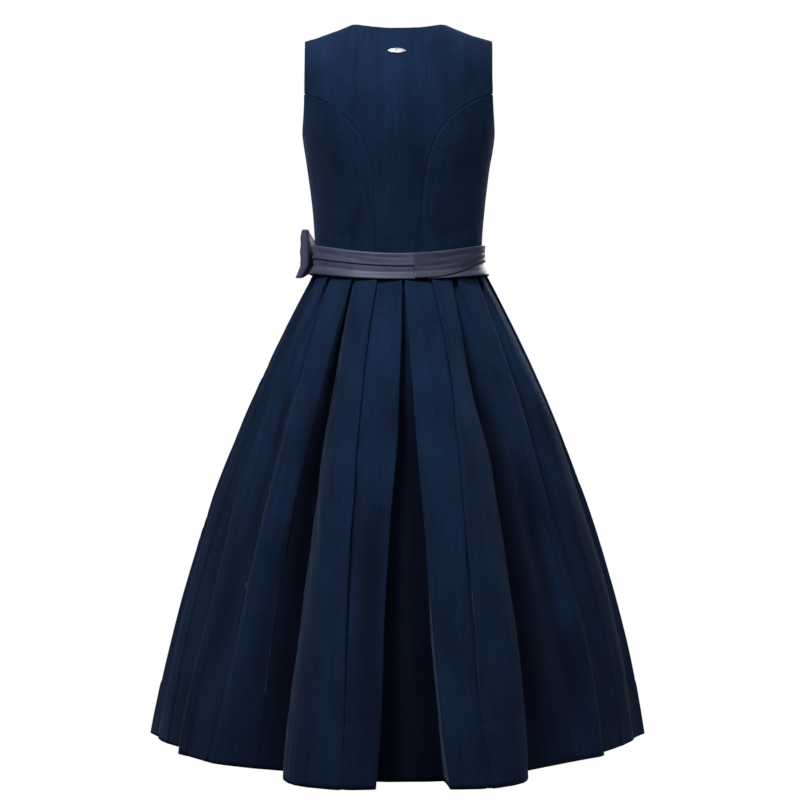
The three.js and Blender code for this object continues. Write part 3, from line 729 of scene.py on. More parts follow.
def pleat_corners(pleat, hand, t):
    """Angle and radius of a pleat's five corners, its folded edge last."""
    crest, hem, tucks, drops, shoulders, rises = pleat
    edge = np.radians(through(crest, t))
    waist = waist_radius(math.radians(crest[0]))
    hem = hem or front_hem_radius(math.radians(crest[2]))
    radius = mix(waist, hem, flare(t))
    tuck = through((WAIST_TUCK, *tucks), t)
    shoulder = through((1.5, *shoulders), t)
    rise = through((-2.2 * WAIST_LAYER, *rises), t)
    drop = through((1.9 * WAIST_LAYER, *drops), t)
    layer = mix(WAIST_LAYER, 1.2 if tucks[1] < -10 else 6.0, t)  # an opened fold has no layers left
    inner = [(tuck - 0.3 * layer, -drop - layer), (tuck, -drop)]
    corners = [(-shoulder, rise), *inner, (0 * t, -layer), (0 * t, 0 * t)]
    return [(hand * (edge + distance / radius), radius + height) for distance, height in corners]


def skirt_point(angle, radius, t):
    around = np.arctan2(np.sin(angle) / HALF_WAIST, np.cos(angle) / waist_depth(angle))
    z = mix(waist_z(around) - WAIST_SEAM, HEM_Z, t)
    return np.stack([radius * np.sin(angle), radius * np.cos(angle), z + 0 * radius], -1)


def skirt_corners(t):
    """Angle and radius of every corner round the skirt at the levels t, and what each one is."""
    left = [corner for pleat in LEFT_PLEATS for corner in pleat_corners(pleat, 1, t)]
    right = [corner for pleat in RIGHT_PLEATS for corner in pleat_corners(pleat, -1, t)][::-1]
    flat = []
    for waist, hem in FRONT_PANEL:
        radius = mix(waist_radius(math.radians(waist)), front_hem_radius(math.radians(hem)), flare(t))
        flat.append((np.radians(mix(waist, hem, t)), radius))
    right = [(angle + 2 * math.pi, radius) for angle, radius in right]
    kinds = list(range(CORNERS)) * len(LEFT_PLEATS) + [-1] * len(flat)
    kinds += list(range(CORNERS))[::-1] * len(RIGHT_PLEATS)
    corners = left + flat + right
    return np.stack([c[0] for c in corners], 1), np.stack([c[1] for c in corners], 1), np.array(kinds)


def rounded(points, crisp, soft, labels, share):
    """Cuts each corner of open rows of points. crisp and soft are the longest cuts on each row."""
    pieces, marks = [points[:, :1]], [labels[0]]
    for k in range(1, points.shape[1] - 1):
        is_crisp = min(labels[k][0], CORNER_TOTAL - 1 - labels[k][0]) < CRISP_PLEATS * CORNERS
        reach = crisp if is_crisp else soft
        for other in (k - 1, k + 1):
            step = points[:, other] - points[:, k]
            length = np.linalg.norm(step, axis=1, keepdims=True)
            cut = np.minimum(reach[:, None], share * length)
            pieces.append((points[:, k] + step / length * cut)[:, None])
            marks.append(labels[k])
    pieces.append(points[:, -1:])
    return np.concatenate(pieces, 1), marks + [labels[-1]]


def filled(points, labels, spacing):
    """Adds points along the long stretches, the same number on every row."""
    longest = np.linalg.norm(np.diff(points, axis=1), axis=2).max(0)
    pieces, marks = [], []
    for k, length in enumerate(longest):
        count = max(1, int(math.ceil(length / spacing)))
        for step in range(count):
            pieces.append(mix(points[:, k], points[:, k + 1], step / count)[:, None])
            marks.append(labels[k])
    pieces.append(points[:, -1:])
    return np.concatenate(pieces, 1), marks + [labels[-1]]


def middles(labels, kind):
    """The middle point of each corner of one kind, in order."""
    groups = {}
    for k, label in enumerate(labels):
        if label[1] == kind:
            groups.setdefault(label[0], []).append(k)
    return sorted(int(np.mean(group)) for group in groups.values())


def skirt_panel(start, end, rows, spacing):
    """The folded cloth between two seams, its flat cut, and the cut's jumps inside the folds."""
    t = np.concatenate([np.linspace(0, 0.12, rows // 5), np.linspace(0.12, 1, rows - rows // 5)[1:]])
    angle, radius, kinds = skirt_corners(t)
    corners = skirt_point(angle, radius, t[:, None])
    order = np.arange(start, end) % CORNER_TOTAL

    def at_seam(before, after):
        """The edge of the panel: half way between two corners, a little towards the panel."""
        middle = (corners[:, before] + corners[:, after]) / 2
        step = corners[:, after] - middle
        return (middle + step / np.linalg.norm(step, axis=1, keepdims=True) * SKIRT_SEAM)[:, None]

    first = at_seam((start - 1) % CORNER_TOTAL, order[0])
    last = at_seam(end % CORNER_TOTAL, order[-1])
    points = np.concatenate([first, corners[:, order], last], 1)
    labels = [(-2, -1)] + [(k, kinds[k]) for k in order] + [(-3, -1)]
    points, labels = rounded(points, mix(1.4, 6.0, t), mix(1.4, 24.0, t), labels, 0.3)
    points, labels = rounded(points, mix(0.7, 3.0, t), mix(0.7, 14.0, t), labels, 0.28)
    points, labels = filled(points, labels, spacing)
    crests, borders = middles(labels, EDGE), middles(labels, INNER)
    zones = np.searchsorted(borders, np.arange(len(labels) - 1), side="right")
    crest_zones = np.searchsorted(borders, crests, side="right")
    owner = np.zeros(len(labels) - 1, int)
    for j, zone in enumerate(zones):
        inside = np.flatnonzero(crest_zones == zone)
        owner[j] = crests[inside[0] if len(inside) else min(zone, len(crests) - 1)]
    lengths = row_lengths(points)
    fall = (1 - t)[:, None] * (WAIST_SIDE_Z - HEM_Z) + 0 * lengths
    left_u = lengths[:, :-1] - lengths[:, owner] + owner * PANEL_SHIFT
    right_u = lengths[:, 1:] - lengths[:, owner] + owner * PANEL_SHIFT
    cut = np.stack([np.concatenate([left_u, right_u[:, -1:]], 1), fall], -1)
    jump = np.stack([np.concatenate([left_u[:, :1], right_u], 1), fall], -1)
    return points, cut, jump, t


# Soft dents and swells in the hanging cloth: angle and height of the middle, half size round the
# skirt in degrees and up it in mm, and how far out.
SWELLS = [
    (-41, -612, 4.0, 45, -7.0),
    (-38, -560, 3.0, 60, -3.0),
    (35, -575, 3.5, 50, -5.0),
    (28, -660, 3.0, 120, -4.0),
    (-27, -900, 4.0, 140, 5.0),
    (18, -900, 4.0, 150, 5.0),
    (-56, -800, 3.5, 160, -9.0),
    (43, -830, 3.0, 150, -8.0),
    (70, -760, 4.0, 130, 6.0),
    (-68, -960, 4.0, 120, 8.0),
    (-80, -620, 5.0, 120, 5.0),
    (112, -700, 5.0, 150, 6.0),
    (-120, -780, 5.0, 150, 6.0),
]


SEAM_STILL = 45.0  # the cloth hangs evenly this close to a side seam


def skirt_drape(points, t, seed):
    """The folded cloth with the unevenness of real cloth: wandering folds, swells and a hem."""
    angle = np.degrees(np.arctan2(points[..., 0], points[..., 1]))
    z = points[..., 2]
    reach = row_lengths(points)
    hang = smooth(0.03, 0.5, t)[:, None]
    lift = 2.6 * hang * ripple(reach / 240, z / 420, seed)
    lift = lift + 0.9 * hang * ripple(reach / 90, z / 260, seed + 1)
    lift = lift + 0.22 * ripple(reach / 22, z / 70, seed + 2) * smooth(0.0, 0.1, t)[:, None]
    for at, height, wide, tall, out in SWELLS:
        around = (angle - at + 180) % 360 - 180
        lift = lift + out * np.exp(-((around / wide) ** 2) - ((z - height) / tall) ** 2)
    # Both widths keep to one line at their side seams.
    lift = lift * smooth(0.0, SEAM_STILL, reach) * smooth(0.0, SEAM_STILL, reach[:, -1:] - reach)
    turn_up = z - (HEM_Z + HEM_TURN) - 2.0 * ripple(reach / 300, 0 * z, seed + 3)
    lift = lift + 0.7 * smooth(1.5, -1.5, turn_up) - 0.9 * np.exp(-((turn_up / 1.8) ** 2))
    return moved(points, lift)


# Painted shadows in the hollows of the back's folds, darker than their shape gives: the two ends in mm from
# the centre and in height, how dark from 0 to 1, and how wide.
PAINTED_SHADOWS = [
    ((33, -730), (51, -1112), 0.8, 22),
    ((-3, -590), (-18, -720), 0.75, 7),
    ((112, -590), (104, -650), 0.55, 9),
    ((129, -594), (155, -767), 0.8, 10),
    ((155, -767), (189, -884), 0.8, 14),
    ((189, -884), (215, -1029), 0.5, 20),
    ((167, -572), (201, -712), 0.85, 7),
    ((201, -712), (230, -831), 0.7, 8),
    ((245, -834), (297, -1029), 0.6, 14),
    ((250, -640), (300, -800), 0.4, 7),
    ((-126, -592), (-148, -680), 0.8, 13),
    ((-148, -680), (-178, -884), 0.85, 14),
    ((-178, -884), (-207, -1090), 0.85, 18),
    ((-195, -698), (-246, -949), 0.8, 11),
    ((-246, -949), (-276, -1068), 0.7, 18),
    ((-268, -746), (-337, -974), 0.6, 16),
    ((-215, -590), (-250, -680), 0.5, 12),
]


def paint_fold_shade(piece, points, t):
    """Stores painted shade for each point, from 0 to 1: darker the deeper it lies inside a fold, and along
    the painted shadows on the back.
    """
    # Painted shade by how far the point lies inside its row's outline.
    depth = smooth(mix(9.0, 5.0, t)[:, None], mix(30.0, 50.0, t)[:, None], fold_depth(points))
    # Painted shadows from the table above, on the back of the skirt only.
    brushed = np.where(points[..., 1] > 0, -pressed(points, PAINTED_SHADOWS), 0.0)
    depth = 1 - (1 - depth) * (1 - np.clip(brushed, 0.0, 0.9))
    store_painted_shade(piece, depth)


left_seam = SEAM_AFTER_LEFT * CORNERS
right_seam = CORNER_TOTAL - SEAM_AFTER_RIGHT * CORNERS
ROWS = 104
SPACING = 8.0

points, cut, jump, t = skirt_panel(right_seam - CORNER_TOTAL, left_seam, ROWS, SPACING)
piece = cloth("skirt_back_widths", skirt_drape(points, t, 41), NAVY_WALL, cut, NAVY, jump)
paint_fold_shade(piece, points, t)
sewn_in(piece, "skirt_back")

points, cut, jump, t = skirt_panel(left_seam, right_seam, ROWS, SPACING)
piece = cloth("skirt_front_widths", skirt_drape(points, t, 51), NAVY_WALL, cut, NAVY, jump)
paint_fold_shade(piece, points, t)
sewn_in(piece, "skirt_front")


# ---- Mauve satin ----
# The apron and its ties are one satin: bright along the light, with a faint crosswise grain,
# and streaked where it has been drawn tight.
MAUVE_DEEP = (0.014, 0.016, 0.032, 1.0)  # where the satin faces away from the light
MAUVE_DARK = (0.032, 0.036, 0.072, 1.0)
MAUVE_LIGHT = (0.102, 0.114, 0.215, 1.0)


def mauve_satin():
    finish = Finish("mauve_satin")
    flat = finish.node("ShaderNodeUVMap", {"uv_map": "cut"})
    weft = finish.noise(flat, (260.0, 2400.0, 1.0), 2.0, 0.6)
    cloudy = finish.noise(flat, (22.0, 34.0, 1.0), 3.0)
    pulled = finish.noise(flat, (14.0, 190.0, 1.0))
    tone = finish.tone(weft * 0.30 + cloudy * 0.50 + pulled * 0.35, 0.34, 0.86)
    finish.set(
        # Painted shade: the satin darkens towards its shade colour by the stored fold value, which only the
        # ties carry.
        Base_Color=finish.blend(finish.folds(), finish.blend(tone, MAUVE_DARK, MAUVE_LIGHT), MAUVE_DEEP),
        Roughness=0.40 + cloudy * 0.16,
        Normal=finish.bump(0.35, 0.0004, weft * 0.5 + pulled * 0.6),
        Specular_IOR_Level=0.38,
        Sheen_Weight=0.14,
        Sheen_Roughness=0.35,
        Sheen_Tint=(0.75, 0.78, 0.95, 1.0),
    )
    return finish.material


MAUVE = mauve_satin()
SATIN_WALL = 0.9


# ---- Apron ----
# One width of satin over the front of the skirt, gathered at its waistband. Its sides and
# bottom are hemmed.
APRON_TOP = -404.0
APRON_BOTTOM = -1088.0
APRON_DROP = 690.0  # of the flat cloth
APRON_WAIST = (113.0, 247.0)  # the angles of its two sides
APRON_HEM = (122.0, 238.0)
GATHERS = 12
APRON_CLEAR = 1.7


def envelope(angle, t):
    """Radius of the skirt's outermost points at angles on its front, each at its own level."""
    angles, radii, kinds = skirt_corners(t)
    outer = (kinds == EDGE) | (kinds == -1) | (np.arange(len(kinds)) >= len(LEFT_PLEATS) * CORNERS)
    hull = []
    for around, corner_angles, corner_radii in zip(angle, angles[:, outer], radii[:, outer]):
        order = np.argsort(corner_angles)
        hull.append(np.interp(around, corner_angles[order], corner_radii[order]))
    return np.maximum(hull, mix(waist_radius(angle), front_hem_radius(angle), flare(t)))


def over_skirt(angle, z, out):
    """A row of points that hang over the front of the skirt."""
    base = skirt_point(angle, np.ones_like(angle), 0.0)[..., 2]
    t = np.maximum((z - base) / (HEM_Z - base), 0.0)
    radius = envelope(angle, t) + out
    return np.stack([radius * np.sin(angle), radius * np.cos(angle), z + 0 * angle], -1)


def flat_strip(grid, level):
    """The flat cut of a strip: distance along each row, and how far down it the row lies."""
    lengths = row_lengths(grid)
    return np.stack([lengths - lengths[:, -1:] / 2, np.broadcast_to(level[:, None], lengths.shape)], -1)


levels = np.concatenate([[0, 0.008, 0.02, 0.035], np.linspace(0.055, 1, 52)])
across = np.linspace(0, 1, GATHERS * 14 + 1)
rng = np.random.RandomState(12)
gather_shift = np.interp(across * GATHERS, np.arange(GATHERS + 1), rng.uniform(-0.16, 0.16, GATHERS + 1))
rows = []
for level in levels:
    angle = np.radians(mix(mix(*APRON_WAIST, across), mix(*APRON_HEM, across), level))
    wave = 0.5 - 0.5 * np.cos(2 * math.pi * (GATHERS * across + gather_shift * np.sin(math.pi * across)))
    uneven = 0.75 + 0.25 * np.sin(9 * across + 1)
    height = mix(2.4, 12, math.sqrt(level)) * wave * uneven
    height = height + 1.3 * level * ripple(across * 7, np.full_like(across, level * 2.2), 61)
    out = mix(APRON_CLEAR, 10, level) + height
    rows.append(over_skirt(angle, mix(APRON_TOP, APRON_BOTTOM, level), out))
apron_shape = np.array(rows)
apron_cut = flat_strip(apron_shape, -levels * APRON_DROP)
piece = cloth("apron_panel", apron_shape, SATIN_WALL, apron_cut, MAUVE)
sewn_in(piece, "apron")


# ---- Apron ties ----
# A flat waistband runs round the front. Its two wide ties go round the back, where the right
# one lies flat over the left, and come back to the bow. The left one is folded along its length.
# Height at the sides, and how far lower at the centre back and front.
SASH_TOP = (-344.0, 19.0)
SASH_BOTTOM = (-390.0, 14.0)
SASH_WIDTH = 48.0
SASH_CLEAR = 3.0
LAP_ANGLE = -10.0
TIE_ROWS, TIE_COLUMNS = 30, 120


def band_point(angle, z, out):
    seam = waist_z(angle)
    body = torso(angle, np.maximum(z, seam))
    t = np.maximum((seam - z) / (seam - HEM_Z), 0.0)
    radius = np.hypot(body[..., 0], body[..., 1])
    scale = (radius + 275 * flare(t) + out) / radius
    return np.stack([body[..., 0] * scale, body[..., 1] * scale, z], -1)


def band(start, end, profile, width_along, creases):
    """A tie between two angles. profile: places down the band, 0 to 1, how far out there, and
    how far the place slants along the band. creases: start and end along and down the band, 0 to
    1, depth, and half width as a share of the band."""
    across = np.linspace(0, 1, TIE_COLUMNS)[None]
    at, out, slant = np.array([(*row, 0.0)[:3] for row in profile]).T
    place = np.unique(np.concatenate([np.linspace(at[0], at[-1], TIE_ROWS), at]))
    lift = np.interp(place, at, out)[:, None]
    tilt = np.interp(place, at, slant)[:, None]
    down = (place[:, None] + tilt * across) * width_along(across)
    angle = np.radians(mix(start, end, across)) + 0 * down
    pressed_in = np.zeros(down.shape)
    for a0, d0, a1, d1, deep, wide in creases:
        length = math.hypot(a1 - a0, d1 - d0)
        ua, ud = (a1 - a0) / length, (d1 - d0) / length
        along = ((across - a0) * ua + (down - d0) * ud) / length
        aside = (down - d0) * ua - (across - a0) * ud
        fade = smooth(-0.06, 0.25, along) * (1 - smooth(0.75, 1.06, along))
        pressed_in -= deep * fade * np.exp(-((aside / wide) ** 2))
    top = SASH_TOP[0] - SASH_TOP[1] * np.cos(angle) ** 2
    bottom = SASH_BOTTOM[0] - SASH_BOTTOM[1] * np.cos(angle) ** 2
    z = mix(top, bottom, down)
    grid = band_point(angle, z, SASH_CLEAR + lift + pressed_in)
    return grid, flat_strip(grid, -place * SASH_WIDTH)


FOLDED = [
    (0, 0.4), (0.06, 1.2), (0.2, 1.2), (0.4, 1.5), (0.455, 1.9), (0.485, 1.6, -0.06),
    (0.515, -0.1, -0.06), (0.6, 0.2, -0.04), (0.8, 0.5), (0.94, 0.6), (1, 0.2),
]
FLAT = [(0, 2.2), (0.05, 2.8), (0.25, 2.6), (0.5, 2.6), (0.75, 2.8), (0.93, 3.0), (0.97, 2.5)]
UNDER = [(0.3, -0.3), (0.62, 0), (0.8, 0.4), (0.97, 0.6, 0.03), (1.02, 0.2, 0.03)]
LEFT_CREASES = [
    (0.03, 0.20, 0.45, 0.12, 0.5, 0.05),
    (0.30, 0.30, 0.62, 0.24, 0.6, 0.06),
    (0.05, 0.72, 0.40, 0.84, 0.6, 0.06),
    (0.35, 0.80, 0.70, 0.66, 0.6, 0.07),
    (0.48, 0.16, 0.80, 0.34, 0.7, 0.07),
    (0.62, 0.90, 0.98, 0.56, 0.8, 0.08),
    (0.70, 0.10, 0.99, 0.42, 0.8, 0.07),
]
RIGHT_CREASES = [
    (0.02, 0.55, 0.34, 0.48, 0.5, 0.06),
    (0.10, 0.26, 0.55, 0.16, 0.6, 0.07),
    (0.25, 0.76, 0.62, 0.44, 0.8, 0.07),
    (0.42, 0.30, 0.85, 0.22, 0.8, 0.06),
    (0.50, 0.50, 0.98, 0.34, 0.9, 0.06),
    (0.64, 0.12, 0.99, 0.08, 0.6, 0.05),
]
UNDER_CREASES = [
    (0.10, 0.80, 0.50, 0.86, 0.6, 0.06),
    (0.30, 0.96, 0.85, 0.70, 1.0, 0.07),
    (0.42, 0.74, 0.95, 0.52, 0.8, 0.06),
    (0.60, 0.98, 0.98, 0.88, 0.7, 0.05),
]


def drawn_up(across):
    """The right tie's share of its full width, as it is drawn together towards the front."""
    return 1 - 0.42 * smooth(0.08, 0.72, across)


def full_width(across):
    return 1.0


# Piece, node, angles of the two ends, profile, width along it, creases, painted shade and flat size. The
# right tie gets painted shade, darker than the left, as it catches less of the light.
TIES = [
    ("tie_left", "sash_left", (LAP_ANGLE - 5, 107), FOLDED, full_width, LEFT_CREASES, 0.0, (0.26, 0.05)),
    ("tie_right", "sash_right", (LAP_ANGLE, -111.6), FLAT, drawn_up, RIGHT_CREASES, 0.45, (0.2, 0.04)),
    ("tie_right_lower", "sash_under_right", (LAP_ANGLE - 8, -111.2), UNDER, full_width, UNDER_CREASES,
     0.0, (0.2, 0.035)),
    ("waistband", "sash_front", (107.4, 247.9), FLAT, full_width, RIGHT_CREASES, 0.0, (0.3, 0.05)),
]
# Painted shade along the lower edge of each tie, where it turns up towards the light above.
LOWER_EDGE_SHADE = 0.35
tie_grids = {}
for name, node, (start, end), profile, width_along, creases, shade, size in TIES:
    shape, cut = band(start, end, profile, width_along, creases)
    tie_grids[name] = shape
    piece = cloth(name, shape, SATIN_WALL, cut, MAUVE)
    painted_edge_shade = smooth(0.76, 0.95, np.linspace(0, 1, len(shape)))[:, None]
    store_painted_shade(piece, shade + LOWER_EDGE_SHADE * painted_edge_shade + 0 * shape[..., 0])
    sewn_in(piece, node)


# ---- Bow ----
# The ties are knotted at the wearer's left: two loops that stand open, a knot wound over them
# and two ends that hang down on the apron.
BOW_ANGLE, BOW_Z, BOW_STAND = 120.0, -357.0, 12.4
LOOP_LENGTH, LOOP_HEIGHT, LOOP_INSIDE, LOOP_OUTSIDE = 64.0, 79.0, 8.2, 13.0
KNOT_HALF, KNOT_DEPTH, KNOT_TALL, KNOT_STAND = 13.0, 6.6, 22.0, -2.4

bow_middle = band_point(np.radians(BOW_ANGLE), np.array(BOW_Z), SASH_CLEAR + BOW_STAND)
bow_radius = math.hypot(bow_middle[0], bow_middle[1])


def bow_point(along, out, up):
    """A point of the bow: along the waist from its knot, out from the ties' layer, and up."""
    angle = math.radians(BOW_ANGLE) - along / bow_radius
    return band_point(angle, BOW_Z + up, SASH_CLEAR + BOW_STAND + out)


def bow_loop(hand, seed):
    """A ribbon that runs out from the knot, turns at its end and comes back."""
    turn = np.linspace(0, 1, 61)[None]
    edge = np.linspace(-1, 1, 31)[:, None]
    reach = np.sin(math.pi * turn)
    along = KNOT_HALF + 0.4 + LOOP_LENGTH * reach ** 0.8 + 0 * edge
    along = along + 2.0 * reach * np.sin(2.1 * edge + seed)
    facing = -np.cos(math.pi * turn)
    side = np.sign(facing) * np.abs(facing) ** 0.5
    bulge = np.where(side < 0, LOOP_INSIDE, LOOP_OUTSIDE - 4 * edge ** 4)
    out = side * mix(1.6, bulge, reach ** 0.5)
    up = edge * mix(14, LOOP_HEIGHT / 2, reach ** 0.4)
    pinch = (1 - reach) ** 0.5 * smooth(0.0, 0.15, reach)
    crease = 0.9 * pinch * np.sin(3.3 * math.pi * edge + 0.8 * seed)
    crease = crease + 0.5 * reach * ripple(edge, turn * 1.6, seed)
    outside = smooth(0.4, 0.6, turn)
    return bow_point(hand * along, out + crease * mix(0.35, 1.0, outside), up)


for hand, name, seed in ((1, "back", 71), (-1, "front", 72)):
    shape = bow_loop(hand, seed)
    lengths = row_lengths(shape)
    cut = np.stack([lengths, np.linspace(-40, 40, len(shape))[:, None] + 0 * lengths], -1)
    piece = cloth(f"loop_{name}", shape, SATIN_WALL, cut, MAUVE)
    sewn_in(piece, f"bow_loop_{name}")

TAIL_TOP = -384.0
TAIL_WIDTH = (17.0, 46.0)  # drawn together at the knot, and open
TAIL_RADIUS = 260.0
# Piece, node, angle at the top, how far round it leans, length, and start of its wave.
TAILS = [
    ("tail_1", "bow_tail_1", 113.5, 7.0, 330.0, 81),
    ("tail_2", "bow_tail_2", 123.0, 10.0, 365.0, 82),
]
for name, node, at, lean, length, seed in TAILS:
    level = np.concatenate([np.linspace(0, 0.1, 7), np.linspace(0.12, 1, 40)])
    across = np.linspace(-0.5, 0.5, 21)
    rows = []
    for t in level:
        z = TAIL_TOP - length * t + 0 * across
        angle = math.radians(at + lean * t) + across * mix(*TAIL_WIDTH, min(3 * t, 1)) / TAIL_RADIUS
        lift = mix(SASH_CLEAR + 4.4, 26, min(2.4 * t, 1)) + 2.5 * math.sin(9 * t) * t
        wave = (1.1 + 1.4 * t) * np.sin(2 * math.pi * (1.6 * across + 0.7 * t) + seed) * min(4 * t, 1)
        rows.append(band_point(angle, z, lift) if z[0] > APRON_TOP else over_skirt(angle, z, lift + wave))
    shape = np.array(rows)
    piece = cloth(name, shape, SATIN_WALL, flat_strip(shape, -level * length), MAUVE)
    sewn_in(piece, node)


def closed_skin(name, points, around, material):
    """A closed form from rings of points that run from one pole to the other."""
    rings, count = points.shape[:2]
    faces = []
    for ring in range(0, (rings - 1) * count, count):
        for k in range(count):
            beside = ring + (k + 1) % count
            faces.append((ring + k, beside, beside + count, ring + k + count))
    faces.append(tuple(range(count))[::-1])
    faces.append(tuple((rings - 1) * count + k for k in range(count)))
    mesh = bpy.data.meshes.new(name)
    mesh.from_pydata([tuple(p) for p in points.reshape(-1, 3) * MM], [], faces)
    mesh.polygons.foreach_set("use_smooth", np.ones(len(faces), bool))
    mesh.uv_layers.new(name="cut")
    spots = np.zeros((len(mesh.loops), 2))
    for loop in mesh.loops:
        ring, k = divmod(loop.vertex_index, count)
        spots[loop.index] = (ring * around[0] / rings, k * around[1] / count)
    mesh.uv_layers["cut"].data.foreach_set("uv", spots.ravel())
    mesh.materials.append(material)
    form = placed(name, mesh)
    bpy.context.view_layer.update()
    return form


def square(value):
    """Draws a coordinate of a round form out towards a box's."""
    return np.sign(value) * np.abs(value) ** 0.65


polar = np.linspace(0.06, math.pi - 0.06, 25)[:, None]
turn = np.linspace(0, 2 * math.pi, 48, endpoint=False)[None]
x, y, z = np.cos(polar) + 0 * turn, np.sin(polar) * np.sin(turn), np.sin(polar) * np.cos(turn)
folds = 1 + 0.07 * np.sin(6.5 * math.pi * x + 0.6 * z) * np.sin(polar)
shape = bow_point(square(x) * KNOT_HALF, KNOT_STAND + square(y) * KNOT_DEPTH * folds,
                  square(z) * KNOT_TALL * folds)
piece = closed_skin("knot", shape, (0.05, 0.1), MAUVE)
sewn_in(piece, "bow_knot")


# ---- Sewing ----
# Short running stitches go through the folded end of the right tie, the closure's edge and the
# apron's turned-up bottom. The thread has each cloth's colour, a little lighter.
def thread(name, dark, light):
    finish = Finish(name)
    place = finish.node("ShaderNodeTexCoord", None, None, output=3)
    worn = finish.noise(place, (900.0, 900.0, 900.0), 2.0, 0.6)
    finish.set(Base_Color=finish.blend(worn, dark, light), Roughness=0.55 + worn * 0.2, Sheen_Weight=0.3)
    return finish.material


def stitch_maker(material):
    """Nodes that lay stitches along the edges of a mesh, one for each step."""
    tree = bpy.data.node_groups.new("running_stitch", "GeometryNodeTree")
    tree.interface.new_socket("Geometry", in_out="OUTPUT", socket_type="NodeSocketGeometry")
    tree.interface.new_socket("Geometry", in_out="INPUT", socket_type="NodeSocketGeometry")
    inputs = {}
    for label, kind, value in (
        ("Step", "NodeSocketFloat", 0.003), ("Half Length", "NodeSocketFloat", 0.001),
        ("Half Width", "NodeSocketFloat", 0.0002), ("Seed", "NodeSocketInt", 1),
    ):
        socket = tree.interface.new_socket(label, in_out="INPUT", socket_type=kind)
        socket.default_value = value
        inputs[label] = socket.identifier
    start, end = tree.nodes.new("NodeGroupInput"), tree.nodes.new("NodeGroupOutput")

    def add(kind, sockets, **settings):
        node = tree.nodes.new(kind)
        for key, value in settings.items():
            setattr(node, key, value)
        for key, value in sockets.items():
            if isinstance(value, bpy.types.NodeSocket):
                tree.links.new(value, node.inputs[key])
            else:
                node.inputs[key].default_value = value
        return node

    line = add("GeometryNodeMeshToCurve", {"Mesh": start.outputs["Geometry"]})
    spots = add("GeometryNodeCurveToPoints",
                {"Curve": line.outputs[0], "Length": start.outputs["Step"]}, mode="LENGTH")
    stitch = add("GeometryNodeMeshUVSphere", {"Segments": 8, "Rings": 6, "Radius": 1.0})
    size = add("ShaderNodeCombineXYZ", {"X": start.outputs["Half Width"], "Y": start.outputs["Half Width"],
                                        "Z": start.outputs["Half Length"]})
    uneven = add("FunctionNodeRandomValue", {2: 0.86, 3: 1.1, "Seed": start.outputs["Seed"]},
                 data_type="FLOAT")
    scale = add("ShaderNodeVectorMath", {0: size.outputs[0], "Scale": uneven.outputs[1]}, operation="SCALE")
    laid = add("GeometryNodeInstanceOnPoints", {
        "Points": spots.outputs["Points"], "Instance": stitch.outputs["Mesh"],
        "Rotation": spots.outputs["Rotation"], "Scale": scale.outputs[0]})
    real = add("GeometryNodeRealizeInstances", {"Geometry": laid.outputs[0]})
    done = add("GeometryNodeSetMaterial", {"Geometry": real.outputs[0], "Material": material})
    tree.links.new(done.outputs[0], end.inputs[0])
    return tree, inputs


def sew(name, path, out, step, material, seed):
    """A row of stitches on a path of points in mm, out from the middle of the cloth."""
    outwards = path * (1.0, 1.0, 0.0)
    spots = (path + outwards / np.linalg.norm(outwards, axis=1, keepdims=True) * out) * MM
    mesh = bpy.data.meshes.new(f"{name}_path")
    mesh.from_pydata([tuple(p) for p in spots], [(k, k + 1) for k in range(len(spots) - 1)], [])
    line = placed(f"{name}_path", mesh)
    tree, inputs = stitch_maker(material)
    modifier = line.modifiers.new("stitches", "NODES")
    modifier.node_group = tree
    values = {"Step": step * MM, "Half Length": 0.34 * step * MM, "Half Width": 0.22 * MM, "Seed": seed}
    for label, value in values.items():
        modifier[inputs[label]] = value
    sewn = bpy.data.meshes.new_from_object(line.evaluated_get(bpy.context.evaluated_depsgraph_get()))
    sewn.name = name
    bpy.data.objects.remove(line)
    bpy.data.node_groups.remove(tree)
    row = placed(name, sewn)
    bpy.context.view_layer.update()
    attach(row, "root")


APRON_HEM_STITCHED = 0.955  # share of the way down
NAVY_THREAD = thread("navy_thread", (0.006, 0.016, 0.045, 1.0), (0.016, 0.040, 0.100, 1.0))
MAUVE_THREAD = thread("mauve_thread", (0.050, 0.056, 0.100, 1.0), (0.120, 0.130, 0.210, 1.0))
on_satin, on_navy = SATIN_WALL / 2 + 0.1, NAVY_WALL / 2 + 0.1
lap_end = tie_grids["tie_right"][2:-2, 3]
hem_row = apron_shape[np.argmin(np.abs(levels - APRON_HEM_STITCHED))]
sew("lap_stitches", lap_end, on_satin, 3.0, MAUVE_THREAD, 1)
sew("apron_hem_stitches", hem_row, on_satin, 3.4, MAUVE_THREAD, 2)
sew("closure_stitches", closure_edge, on_navy, 3.0, NAVY_THREAD, 3)


# ---- Metal ----
# Six domed pewter buttons, each with a low ring near its rim, close the front. A small blank
# oval plate with a soft bevel is fixed below the back neck line.
PEWTER_DARK = (0.40, 0.41, 0.43, 1.0)
PEWTER_LIGHT = (0.72, 0.73, 0.76, 1.0)


def pewter():
    finish = Finish("pewter")
    place = finish.node("ShaderNodeTexCoord", None, None, output=3)
    worn = finish.noise(place, (160.0, 160.0, 160.0), 4.0, 0.6)
    brushed = finish.noise(place, (900.0, 120.0, 2600.0), 3.0)
    finish.set(
        Base_Color=finish.blend(finish.tone(worn, 0.3, 0.7), PEWTER_DARK, PEWTER_LIGHT),
        Roughness=0.24 + worn * 0.22,
        Metallic=1.0,
        Normal=finish.bump(0.12, 0.0002, brushed),
    )
    return finish.material


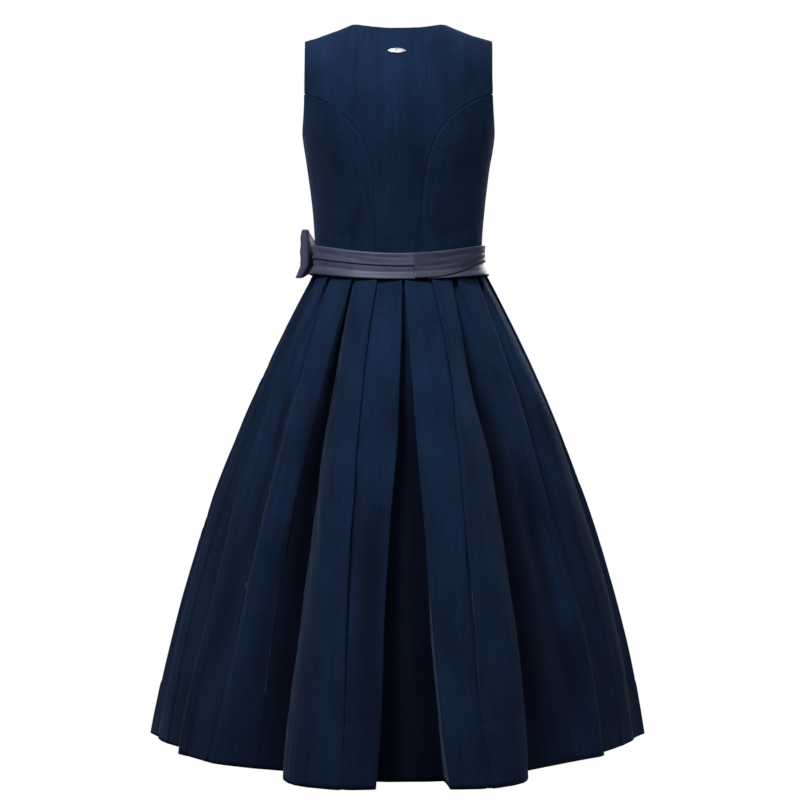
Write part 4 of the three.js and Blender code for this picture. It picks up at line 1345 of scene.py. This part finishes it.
PEWTER = pewter()
BUTTONS, FIRST_BUTTON, LAST_BUTTON = 6, -128.0, -338.0
BUTTON_RADIUS, BUTTON_HEIGHT, BUTTON_CLEAR = 7.5, 3.4, 0.45
BUTTON_OUTLINE = [  # radius and height as shares of the button's
    (0.02, 0), (0.8, 0), (0.93, 0.06), (1.0, 0.2), (0.99, 0.36), (0.94, 0.48), (0.86, 0.52),
    (0.8, 0.46), (0.74, 0.5), (0.62, 0.7), (0.46, 0.87), (0.24, 0.97), (0.02, 1.0),
]

for k in range(BUTTONS):
    z = mix(FIRST_BUTTON, LAST_BUTTON, k / (BUTTONS - 1))
    at, above, below = (torso_at(np.array(0.0), np.array(z + step), -1) for step in (0.0, 3.0, -3.0))
    slope = above - below
    facing = np.array([0.0, -slope[2], slope[1]])
    facing = facing / np.linalg.norm(facing)
    upward = slope / np.linalg.norm(slope)
    base = at + facing * (NAVY_WALL / 2 + BUTTON_CLEAR)
    turn = np.linspace(0, 2 * math.pi, 40, endpoint=False)
    around = np.outer(np.cos(turn), np.array([1.0, 0, 0])) + np.outer(np.sin(turn), upward)
    rings = [base + around * radius * BUTTON_RADIUS + facing * height * BUTTON_HEIGHT
             for radius, height in BUTTON_OUTLINE]
    piece = closed_skin(f"front_button_{k + 1}", np.array(rings), (0.01, 0.03), PEWTER)
    sewn_in(piece, f"button_{k + 1}")

PLATE_X, PLATE_Z, PLATE_WIDTH, PLATE_HEIGHT, PLATE_CLEAR = 2.4, -43.5, 27.0, 8.0, 0.35
PLATE_OUTLINE = [  # share of its size, and height in mm
    (0.03, 0.0), (1.0, 0.0), (1.045, 0.15), (1.05, 0.5), (1.03, 0.8),
    (0.99, 1.0), (0.95, 1.12), (0.88, 1.16), (0.5, 1.18), (0.03, 1.18),
]
turn = np.linspace(0, 2 * math.pi, 64, endpoint=False)
rings = []
for share, height in PLATE_OUTLINE:
    x = PLATE_X - share * PLATE_WIDTH / 2 * np.cos(turn)
    z = PLATE_Z + share * PLATE_HEIGHT / 2 * np.sin(turn)
    level = torso_at(x + 1, z, 1) - torso_at(x - 1, z, 1)
    facing = np.cross(level, torso_at(x, z + 1, 1) - torso_at(x, z - 1, 1))
    facing = facing / np.linalg.norm(facing, axis=1, keepdims=True) * np.sign(facing[:, 1:2])
    rings.append(torso_at(x, z, 1) + facing * (NAVY_WALL / 2 + PLATE_CLEAR + height))
piece = closed_skin("plate", np.array(rings), (0.01, 0.03), PEWTER)
sewn_in(piece, "neck_plate")
